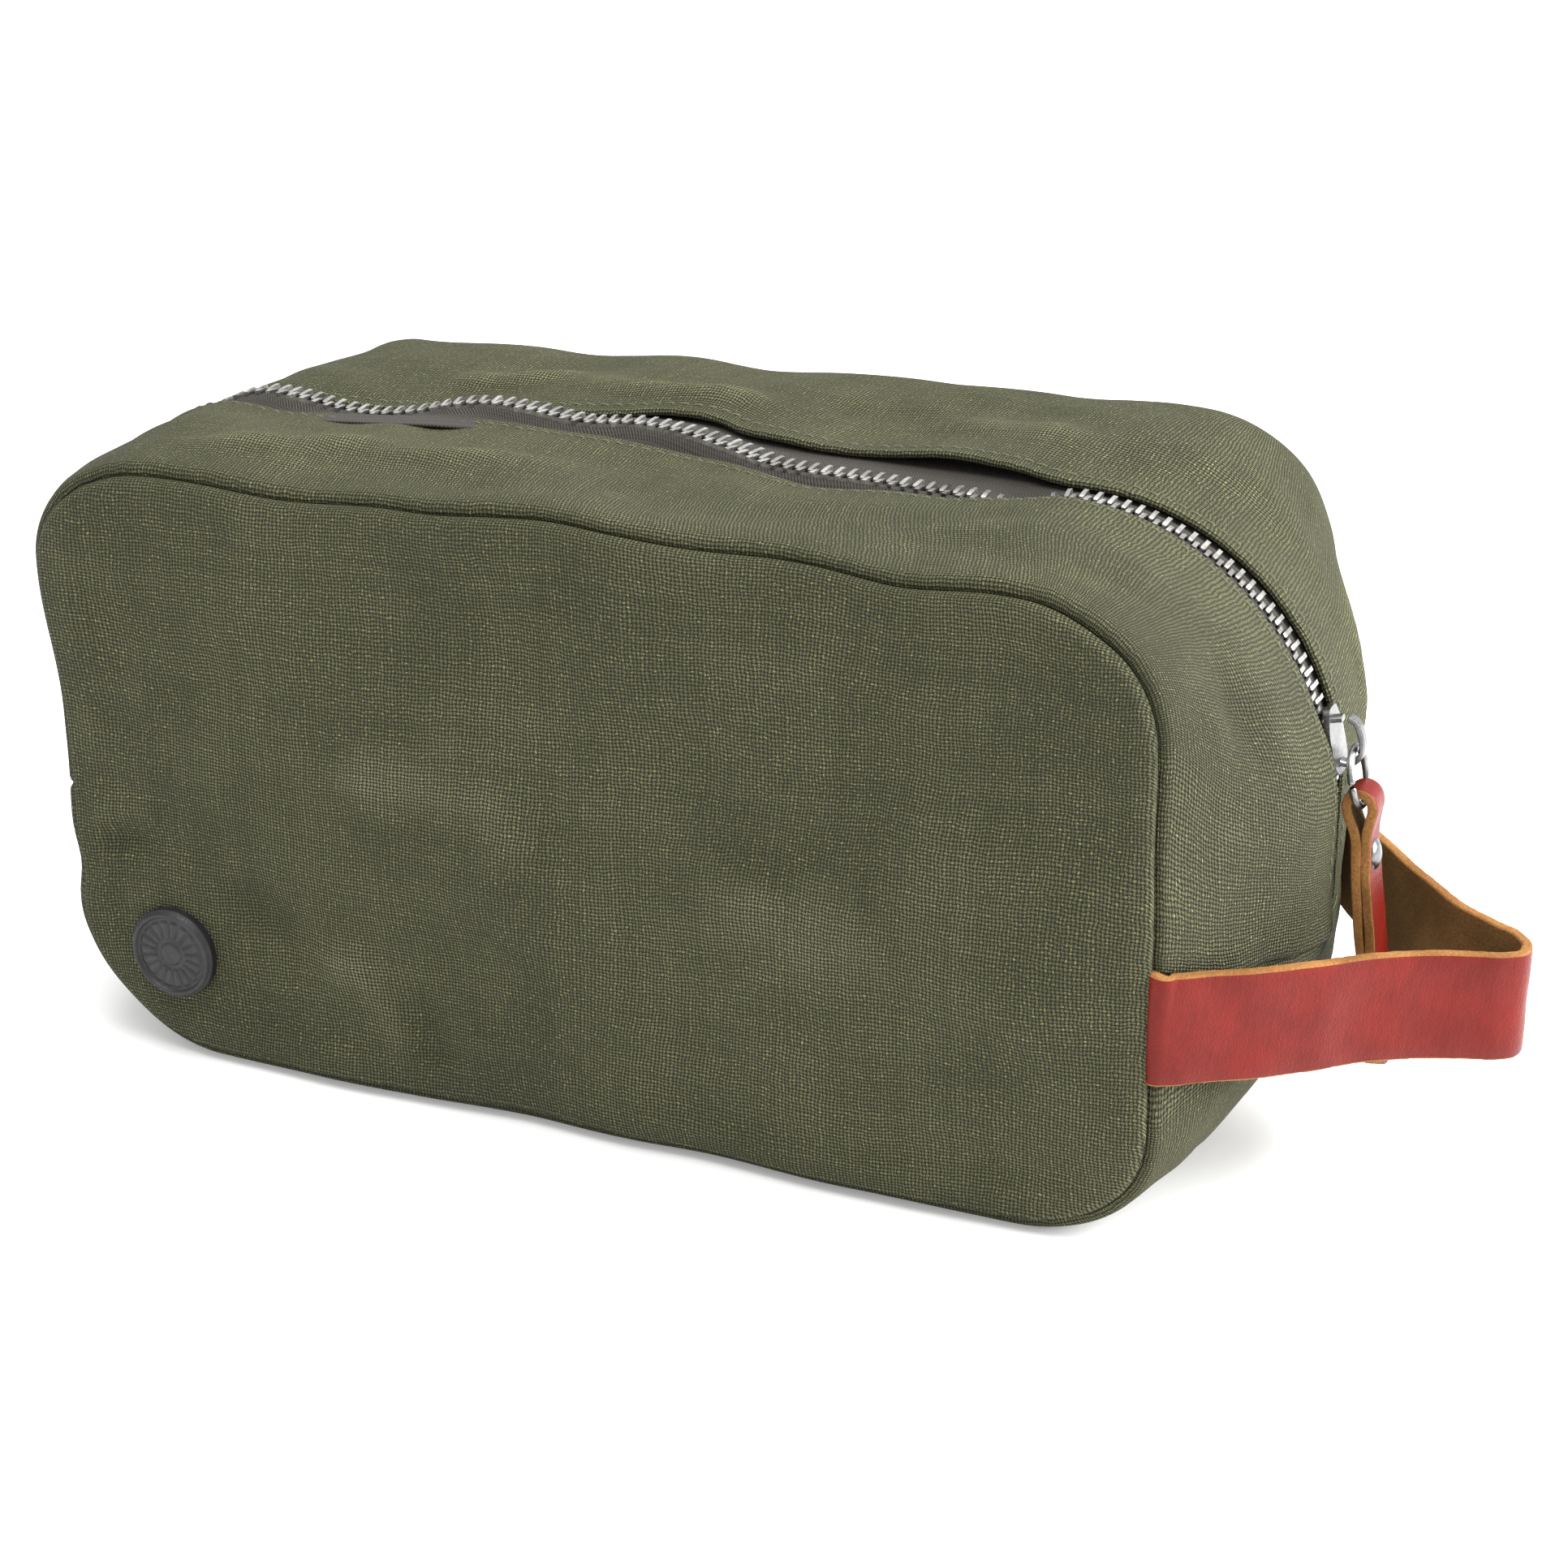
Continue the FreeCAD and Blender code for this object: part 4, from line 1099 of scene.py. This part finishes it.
def add_plate(shape, outline, low, high, bevel):
    """A plate with soft edges: an outline across and up, between two places along X."""
    made = add_prism(shape, [(low, y, z) for y, z in outline], [(high, y, z) for y, z in outline])
    edges = list({edge for face in made for edge in face.edges if edge.calc_face_angle(0) > 0.9})
    bmesh.ops.bevel(shape, geom=edges, offset=bevel, segments=3, affect="EDGES")


def rounded(points, radius, steps=4):
    """A closed outline with its corners cut to smooth curves."""
    made = []
    corners = np.array(points, float)
    for before, here, after in zip(np.roll(corners, 1, 0), corners, np.roll(corners, -1, 0)):
        start = here + unit(before - here) * radius
        end = here + unit(after - here) * radius
        for t in np.linspace(0, 1, steps + 1):
            made.append(tuple((1 - t) ** 2 * start + 2 * t * (1 - t) * here + t * t * end))
    return made


def add_hook(shape, line, thickness, width):
    """A bent metal band of rectangular section along a line in the XZ plane."""
    middle = along_points(line, 36)
    ahead = unit(np.gradient(middle, axis=0))
    out = np.stack([ahead[:, 1], -ahead[:, 0]], -1)
    half = width / 2
    t = thickness / 2
    corners = [(-t, -half + 0.3), (-t + 0.3, -half), (t - 0.3, -half), (t, -half + 0.3),
               (t, half - 0.3), (t - 0.3, half), (-t + 0.3, half), (-t, half - 0.3)]
    rings = []
    for place, normal in zip(middle, out):
        ring = [shape.verts.new((place[0] + off * normal[0], y, place[1] + off * normal[1]))
                for off, y in corners]
        rings.append(ring)
    for near, far in zip(rings, rings[1:]):
        for index in range(8):
            after = (index + 1) % 8
            shape.faces.new((near[index], near[after], far[after], far[index]))
    shape.faces.new(rings[0][::-1])
    shape.faces.new(rings[-1])


def make_slider(metal):
    """The slider: two plates with rails, the wedge between them and an open hook on top."""
    shape = bmesh.new()
    plate = rounded([(-3.0, -7.0), (3.0, -7.0), (5.4, -4.4), (5.4, 2.2), (2.6, 7.0), (-2.6, 7.0),
                     (-5.4, 2.2), (-5.4, -4.4)], 1.3)
    add_plate(shape, plate, 0.2, 1.5, 0.35)
    add_plate(shape, plate, -4.8, -3.5, 0.35)
    add_plate(shape, [(0, -6.6), (0.8, -5.0), (0, -2.6), (-0.8, -5.0)], -3.6, 0.3, 0.05)
    for side in (-1, 1):
        rail = [(side * 5.3, -0.6), (side * 5.3, 2.2), (side * 4.6, 2.2), (side * 4.6, -0.6)]
        add_plate(shape, rail[::side], -0.6, 0.3, 0.12)
        add_plate(shape, rail[::side], -3.6, -2.7, 0.12)
    hook = [(0.9, -4.6), (2.6, -5.3), (4.6, -4.9), (6.0, -3.5), (6.45, -1.4), (6.4, 1.2), (5.9, 3.1),
            (4.7, 4.3)]
    add_hook(shape, hook, 1.2, 2.8)
    add_hook(shape, [(0.9, 4.3), (2.0, 4.35), (3.3, 4.3)], 1.2, 2.8)
    bmesh.ops.recalc_face_normals(shape, faces=shape.faces)
    points, faces = take_points(shape)
    piece = make_piece("slider_body", slider_place(points), faces, [metal], "slider")
    sharp_edges(piece)
    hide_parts("zip_slider")


def badge_height(radius, angle):
    """Height of the badge's face: a raised rim, straight flutes and a plain domed middle."""
    rim = 0.75 * np.exp(-((radius - 9.35) / 0.55) ** 4)
    fluted = ease((radius - 3.4) / 0.8) * ease((8.2 - radius) / 0.8)
    flutes = 0.42 * np.abs(np.cos(9 * angle)) ** 0.7 * fluted
    middle = 0.55 * ease((2.9 - radius) / 0.7) * (1 - 0.03 * radius ** 2)
    return 2.2 + rim + flutes + middle


def make_badge(rubber, metal):
    """The round badge with a generic pattern, and the washer that holds it inside."""
    face_y = -HALF
    inner = np.linspace(0.0, 9.9, 60)
    angles = np.linspace(0, 2 * math.pi, 217)
    radius = np.concatenate([inner, [10.15, 10.35, 10.45, 10.5, 10.5, 10.5]])[:, None]
    height = badge_height(radius, angles[None])
    edge = np.array([2.05, 1.9, 1.7, 1.3, 0.6, -0.3])[:, None]
    height[len(inner):] = edge
    x = BADGE[0] + radius * np.cos(angles)
    z = BADGE[2] + radius * np.sin(angles)
    points = np.stack(np.broadcast_arrays(x, face_y - height, z), -1)
    piece = make_piece("badge_disc", points.reshape(-1, 3), grid_faces(*height.shape), [rubber],
                       "bag")
    close_up(piece)
    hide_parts("badge")
    washer = [(0.0, 4.6), (1.4, 4.6), (1.7, 4.4), (6.6, 4.4), (7.0, 4.15), (7.0, 3.8), (6.7, 3.6),
              (0.0, 3.6)]
    turned = lathe_points(washer, 49)
    points = np.stack([BADGE[0] + turned[..., 0], face_y + turned[..., 2],
                       BADGE[2] + turned[..., 1]], -1)
    piece = make_piece("badge_washer", points.reshape(-1, 3), grid_faces(*points.shape[:2]),
                       [metal], "bag")
    close_up(piece)
    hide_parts("badge_backing")


# ---------------------------------------------------------------- materials


class Shader:
    """A material under construction, with short calls for its nodes."""

    def __init__(self, name, roughness, metallic=0.0):
        self.material = bpy.data.materials.new(name)
        self.material.use_nodes = True
        self.tree = self.material.node_tree
        self.surface = self.tree.nodes["Principled BSDF"]
        self.surface.inputs["Roughness"].default_value = roughness
        self.surface.inputs["Metallic"].default_value = metallic

    def node(self, kind, inputs, **settings):
        """A node with its settings and inputs, which are values or other nodes' outputs."""
        made = self.tree.nodes.new(kind)
        for setting, value in settings.items():
            setattr(made, setting, value)
        for socket, value in inputs.items():
            if isinstance(value, bpy.types.NodeSocket):
                self.tree.links.new(value, made.inputs[socket])
            else:
                made.inputs[socket].default_value = value
        return made

    def math(self, operation, first, second=0.0):
        """One sum, product or other step on two values."""
        return self.node("ShaderNodeMath", {0: first, 1: second}, operation=operation).outputs[0]

    def noise(self, vector, scale, detail=2.0, roughness=0.5):
        """Smooth noise, mostly 0.3 to 0.7."""
        inputs = {"Vector": vector, "Scale": scale, "Detail": detail, "Roughness": roughness}
        return self.node("ShaderNodeTexNoise", inputs).outputs["Fac"]

    def stretch(self, value, low, high, to_low=0.0, to_high=1.0):
        """A value eased from one range to another and held at its ends."""
        inputs = {"Value": value, "From Min": low, "From Max": high, "To Min": to_low,
                  "To Max": to_high}
        return self.node("ShaderNodeMapRange", inputs, interpolation_type="SMOOTHSTEP").outputs[0]

    def mix(self, share, first, second):
        """A colour between two others."""
        inputs = {0: share, 6: first, 7: second}
        return self.node("ShaderNodeMix", inputs, data_type="RGBA").outputs[2]

    def scaled(self, vector, x, y, z=1.0):
        """A vector multiplied along each axis."""
        inputs = {0: vector, 1: (x, y, z)}
        return self.node("ShaderNodeVectorMath", inputs, operation="MULTIPLY").outputs[0]

    def uv(self):
        """The cloth's or leather's own flat places, in metres."""
        return self.node("ShaderNodeUVMap", {}, uv_map="flat").outputs[0]

    def place(self):
        """Places in the piece's own space, in metres."""
        return self.node("ShaderNodeTexCoord", {}).outputs["Object"]

    def bump(self, height, distance, strength=1.0):
        """A normal bent by a height."""
        inputs = {"Height": height, "Distance": distance, "Strength": strength}
        return self.node("ShaderNodeBump", inputs).outputs[0]

    def finish(self, colour, normal, roughness=None):
        """Connect the surface and return the material."""
        self.tree.links.new(colour, self.surface.inputs["Base Color"])
        self.tree.links.new(normal, self.surface.inputs["Normal"])
        if roughness is not None:
            self.tree.links.new(roughness, self.surface.inputs["Roughness"])
        return self.material


def weave(s, flat, pitch):
    """Height of a plain weave's yarns, and a random tone for each yarn that is on top."""
    wobble = s.node("ShaderNodeTexNoise", {"Vector": flat, "Scale": 260.0, "Detail": 2.0})
    centred = s.node("ShaderNodeVectorMath", {0: wobble.outputs["Color"], 1: (0.5, 0.5, 0.5)},
                     operation="SUBTRACT").outputs[0]
    shifted = s.node("ShaderNodeVectorMath", {0: flat, 1: s.scaled(centred, 0.0011, 0.0011)},
                     operation="ADD").outputs[0]
    parts = s.node("ShaderNodeSeparateXYZ", {0: shifted})
    warp_place = s.math("DIVIDE", parts.outputs[0], pitch)
    weft_place = s.math("DIVIDE", parts.outputs[1], pitch)
    warp = s.math("SINE", s.math("MULTIPLY", warp_place, math.pi))
    weft = s.math("SINE", s.math("MULTIPLY", weft_place, math.pi))
    over = s.math("MULTIPLY", s.math("MULTIPLY", warp, weft), 0.45)
    warp_height = s.math("ADD", s.math("MULTIPLY", s.math("ABSOLUTE", warp), 0.55), over)
    weft_height = s.math("SUBTRACT", s.math("MULTIPLY", s.math("ABSOLUTE", weft), 0.55), over)
    height = s.math("MAXIMUM", warp_height, weft_height)
    tone_warp = s.node("ShaderNodeTexWhiteNoise", {"W": s.math("FLOOR", warp_place)},
                       noise_dimensions="1D").outputs[0]
    tone_weft = s.node("ShaderNodeTexWhiteNoise", {"W": s.math("FLOOR", weft_place)},
                       noise_dimensions="1D").outputs[0]
    on_top = s.math("GREATER_THAN", warp_height, weft_height)
    difference = s.math("MULTIPLY", s.math("SUBTRACT", tone_warp, tone_weft), on_top)
    return height, s.math("ADD", tone_weft, difference)


CANVAS_PITCH = 0.00078
LINING_PITCH = 0.0004
BINDING_PITCH = 0.0005


def canvas_material():
    """Waxed olive canvas: round yarns with painted shade in the gaps between them, pale flecks, cloudy
    wax, rubbed edges, and painted shade in crease hollows.
    """
    s = Shader("waxed_canvas", 0.8)
    flat = s.uv()
    height, tone = weave(s, flat, CANVAS_PITCH)
    place = s.place()
    cloud = s.noise(place, 22.0, 4.0, 0.6)
    patch = s.noise(place, 75.0, 3.0, 0.55)
    fleck = s.stretch(s.noise(s.scaled(flat, 1.0, 1.6), 1300.0, 1.5, 0.6), 0.55, 0.68)
    wear_and_shade_values = s.node("ShaderNodeAttribute", {}, attribute_name="wear_and_shade").outputs["Fac"]
    base = s.mix(s.stretch(cloud, 0.35, 0.68), (0.088, 0.088, 0.048, 1), (0.132, 0.132, 0.074, 1))
    base = s.mix(s.stretch(patch, 0.4, 0.75, 0.0, 0.35), base, (0.170, 0.170, 0.094, 1))
    base = s.mix(s.math("MULTIPLY", fleck, 0.75), base, (0.33, 0.325, 0.13, 1))
    rubbed = s.stretch(s.math("ADD", wear_and_shade_values, s.math("MULTIPLY", patch, 0.3)), 0.2, 1.3, 0.0, 0.5)
    base = s.mix(rubbed, base, (0.27, 0.27, 0.15, 1))
    # Painted shade: where the wear value falls below zero, in the crease hollows, the canvas is
    # darkened.
    painted_crease_shade = s.stretch(s.math("MULTIPLY", wear_and_shade_values, -1.0), 0.15, 0.9, 0.0, 0.35)
    base = s.mix(painted_crease_shade, base, (0.060, 0.060, 0.034, 1))
    yarn = s.mix(s.math("MULTIPLY", tone, 0.4), base, (0.045, 0.046, 0.025, 1))
    # Painted shade: the low places of the weave between the yarns are darkened towards near black.
    painted_gap_shade = s.stretch(height, 0.22, 0.9)
    colour = s.mix(painted_gap_shade, (0.017, 0.018, 0.009, 1), yarn)
    fuzz = s.noise(flat, 3500.0, 2.0, 0.6)
    relief = s.math("ADD", height, s.math("MULTIPLY", fuzz, 0.35))
    normal = s.bump(relief, 0.0005, 1.0)
    rough = s.stretch(cloud, 0.3, 0.7, 0.68, 0.86)
    s.surface.inputs["Specular IOR Level"].default_value = 0.18
    return s.finish(colour, normal, rough)


def thread_material():
    """Twisted olive sewing thread."""
    s = Shader("thread", 0.6)
    place = s.place()
    strand = s.noise(place, 2200.0, 2.0)
    colour = s.mix(strand, (0.05, 0.055, 0.03, 1), (0.13, 0.135, 0.075, 1))
    return s.finish(colour, s.bump(strand, 0.00012))


def lining_material():
    """Plain dark cotton lining."""
    s = Shader("cotton_lining", 0.85)
    flat = s.uv()
    height, tone = weave(s, flat, LINING_PITCH)
    base = s.mix(tone, (0.075, 0.07, 0.055, 1), (0.10, 0.094, 0.075, 1))
    # Painted shade: the low places of the weave between the yarns are darkened.
    colour = s.mix(s.stretch(height, 0.1, 0.8), (0.03, 0.028, 0.022, 1), base)
    return s.finish(colour, s.bump(height, 0.0001))


def binding_material():
    """Ribbed black-brown bias tape."""
    s = Shader("bias_tape", 0.8)
    height, tone = weave(s, s.uv(), BINDING_PITCH)
    base = s.mix(tone, (0.020, 0.018, 0.015, 1), (0.036, 0.032, 0.027, 1))
    # Painted shade: the low places of the weave between the yarns are darkened.
    colour = s.mix(s.stretch(height, 0.1, 0.8), (0.008, 0.007, 0.006, 1), base)
    return s.finish(colour, s.bump(height, 0.00015))


def tape_material():
    """Dark taupe zip tape in a herringbone weave."""
    s = Shader("herringbone_tape", 0.75)
    parts = s.node("ShaderNodeSeparateXYZ", {0: s.uv()})
    zigzag = s.math("PINGPONG", parts.outputs[1], 0.0016)
    slant = s.math("ADD", parts.outputs[0], s.math("MULTIPLY", zigzag, 0.9))
    rib = s.math("ABSOLUTE", s.math("SINE", s.math("MULTIPLY", slant, math.pi / 0.00075)))
    line = s.math("ABSOLUTE", s.math("SINE", s.math("MULTIPLY", parts.outputs[1], math.pi / 0.0004)))
    height = s.math("ADD", rib, s.math("MULTIPLY", line, 0.35))
    grain = s.noise(s.uv(), 1800.0, 2.0)
    base = s.mix(grain, (0.034, 0.030, 0.024, 1), (0.060, 0.052, 0.042, 1))
    # Painted shade: the low places between the herringbone ribs are darkened.
    colour = s.mix(s.stretch(height, 0.1, 1.1), (0.014, 0.012, 0.010, 1), base)
    return s.finish(colour, s.bump(height, 0.0002))


def metal_material(name, pale, dark, roughness):
    """Polished zip metal with fine handling marks and dull hollows."""
    s = Shader(name, roughness, 1.0)
    place = s.place()
    cloud = s.noise(place, 180.0, 3.0)
    scratch = s.noise(s.scaled(place, 1.0, 1.0, 6.0), 900.0, 3.0, 0.7)
    colour = s.mix(s.stretch(cloud, 0.3, 0.7), dark, pale)
    rough = s.stretch(s.math("ADD", scratch, s.math("MULTIPLY", cloud, 0.5)), 0.5, 1.1,
                      roughness * 0.7, roughness * 1.7)
    return s.finish(colour, s.bump(scratch, 0.00001, 0.3), rough)


def leather_material(name, light, dark, roughness, depth, fibre=False):
    """Leather: cells of grain and long creases, or the open nap of its flesh side."""
    s = Shader(name, roughness)
    flat = s.uv()
    cloud = s.noise(flat, 60.0, 4.0, 0.6)
    if fibre:
        nap = s.noise(flat, 1500.0, 5.0, 0.75)
        height = nap
        tone = s.stretch(s.math("ADD", cloud, s.math("MULTIPLY", nap, 1.2)), 0.8, 1.5)
    else:
        cells = s.node("ShaderNodeTexVoronoi", {"Vector": flat, "Scale": 1150.0},
                       feature="DISTANCE_TO_EDGE").outputs["Distance"]
        grain = s.stretch(cells, 0.0, 0.25)
        creased = s.noise(s.scaled(flat, 4.0, 1.0), 190.0, 4.0, 0.6)
        height = s.math("ADD", s.math("MULTIPLY", grain, 0.35), s.math("MULTIPLY", creased, 1.1))
        tone = s.stretch(s.math("ADD", cloud, s.math("MULTIPLY", creased, 0.35)), 0.3, 1.0)
    colour = s.mix(tone, dark, light)
    rough = s.stretch(tone, 0.0, 1.0, roughness * 1.15, roughness * 0.85)
    s.surface.inputs["Specular IOR Level"].default_value = 0.2
    return s.finish(colour, s.bump(height, depth), rough)


def rubber_material():
    """Matt black moulded badge, a little dusty in its hollows."""
    s = Shader("matt_black", 0.5)
    place = s.place()
    grain = s.noise(place, 1400.0, 3.0, 0.6)
    cloud = s.noise(place, 240.0, 3.0)
    colour = s.mix(s.stretch(cloud, 0.35, 0.75), (0.010, 0.010, 0.011, 1), (0.020, 0.020, 0.021, 1))
    rough = s.stretch(grain, 0.3, 0.7, 0.42, 0.6)
    return s.finish(colour, s.bump(grain, 0.00004), rough)


def floor_material():
    """Plain pale floor."""
    s = Shader("pale_floor", 0.9)
    grain = s.noise(s.place(), 3.0, 2.0)
    colour = s.mix(grain, (0.89, 0.89, 0.89, 1), (0.91, 0.91, 0.91, 1))
    s.surface.inputs["Specular IOR Level"].default_value = 0.1
    s.surface.inputs["Emission Color"].default_value = (1, 1, 1, 1)
    s.surface.inputs["Emission Strength"].default_value = 0.16
    return s.finish(colour, s.bump(grain, 0.0005))


# ---------------------------------------------------------------- camera, floor and light


def look_from(target, azimuth, elevation, distance):
    """A place to look at the target from, and the turn of a camera there."""
    a = math.radians(azimuth)
    e = math.radians(elevation)
    back = Vector((math.sin(a) * math.cos(e), -math.cos(a) * math.cos(e), math.sin(e)))
    return Vector(target) + back * distance, (-back).to_track_quat("-Z", "Y")


CAMERA_TARGET = (0.0232, -0.0056, 0.0643)
CAMERA_AZIMUTH = 23.27
CAMERA_ELEVATION = 22.06
CAMERA_DISTANCE = 0.6563
CAMERA_LENS = 68.7


def make_camera():
    """The camera, upright and with a long lens."""
    data = bpy.data.cameras.new("camera")
    data.lens = CAMERA_LENS
    data.sensor_width = 36.0
    data.clip_start = 0.01
    camera = bpy.data.objects.new("camera", data)
    camera.location, turn = look_from(CAMERA_TARGET, CAMERA_AZIMUTH, CAMERA_ELEVATION,
                                      CAMERA_DISTANCE)
    camera.rotation_mode = "QUATERNION"
    camera.rotation_quaternion = turn
    bpy.context.scene.collection.objects.link(camera)
    bpy.context.scene.camera = camera


def make_light(name, azimuth, elevation, distance, size, power):
    """A soft square lamp that faces the bag."""
    data = bpy.data.lights.new(name, "AREA")
    data.shape = "SQUARE"
    data.size = size
    data.energy = power
    lamp = bpy.data.objects.new(name, data)
    lamp.location, turn = look_from((0.0, 0.0, 0.05), azimuth, elevation, distance)
    lamp.rotation_mode = "QUATERNION"
    lamp.rotation_quaternion = turn
    bpy.context.scene.collection.objects.link(lamp)


# Name, azimuth, elevation, distance, size, power.
LAMPS = [
    ("key", 10, 78, 1.5, 0.9, 17),
    ("side", 105, 28, 1.6, 1.0, 44),
    ("back", 170, 60, 1.6, 1.0, 4),
]


def make_stage():
    """Pale floor, white surroundings and soft lamps."""
    mesh = bpy.data.meshes.new("floor")
    mesh.from_pydata([(-6, -6, 0), (6, -6, 0), (6, 6, 0), (-6, 6, 0)], [], [(0, 1, 2, 3)])
    mesh.materials.append(floor_material())
    floor = bpy.data.objects.new("floor", mesh)
    bpy.context.scene.collection.objects.link(floor)
    world = bpy.data.worlds.new("studio")
    world.use_nodes = True
    world.node_tree.nodes["Background"].inputs[0].default_value = (1, 1, 1, 1)
    world.node_tree.nodes["Background"].inputs[1].default_value = 1.0
    bpy.context.scene.world = world
    bpy.context.scene.view_settings.view_transform = "Standard"
    for lamp in LAMPS:
        make_light(*lamp)


# ---------------------------------------------------------------- put together

canvas = canvas_material()
thread = thread_material()
tape = tape_material()
zip_metal = metal_material("zip_metal", (0.66, 0.65, 0.62, 1), (0.38, 0.37, 0.35, 1), 0.3)
steel = metal_material("polished_steel", (0.32, 0.32, 0.32, 1), (0.16, 0.16, 0.16, 1), 0.3)
lining = lining_material()
binding = binding_material()
red_grain = leather_material("red_grain", (0.180, 0.009, 0.004, 1), (0.095, 0.005, 0.002, 1), 0.42,
                             0.0001)
cut_edge = leather_material("cut_edge", (0.42, 0.20, 0.062, 1), (0.20, 0.085, 0.024, 1), 0.85,
                            0.00035, fibre=True)
suede = leather_material("brown_suede", (0.20, 0.108, 0.036, 1), (0.095, 0.048, 0.014, 1), 0.95,
                         0.0003, fibre=True)
rubber = rubber_material()

make_camera()
make_stage()
make_panel("canvas_front", -1, "front_panel", canvas)
make_panel("canvas_back", 1, "back_panel", canvas)
make_top_gusset("canvas_top_front", -1, "top_gusset_front", canvas)
make_top_gusset("canvas_top_back", 1, "top_gusset_back", canvas)
make_bottom_gusset(canvas)
make_teeth(zip_metal)
make_stops(zip_metal)
make_tape("tape_front", -1, "zip_tape_front", tape)
make_tape("tape_back", 1, "zip_tape_back", tape)
make_topstitch("topstitch_front", -1, thread)
make_topstitch("topstitch_back", 1, thread)
make_lining_panel("lining_front", -1, "lining_front_panel", lining)
make_lining_panel("lining_back", 1, "lining_back_panel", lining)
make_lining_top("lining_flap_front", -1, "lining_top_front", lining)
make_lining_top("lining_flap_back", 1, "lining_top_back", lining)
make_lining_bottom(lining)
make_binding("binding_front", -1, "seam_binding_front", binding)
make_binding("binding_back", 1, "seam_binding_back", binding)
make_strap([red_grain, cut_edge, suede])
make_tab([red_grain, cut_edge, suede])
make_rivet(steel)
make_ring(steel)
make_slider(steel)
make_badge(rubber, steel)
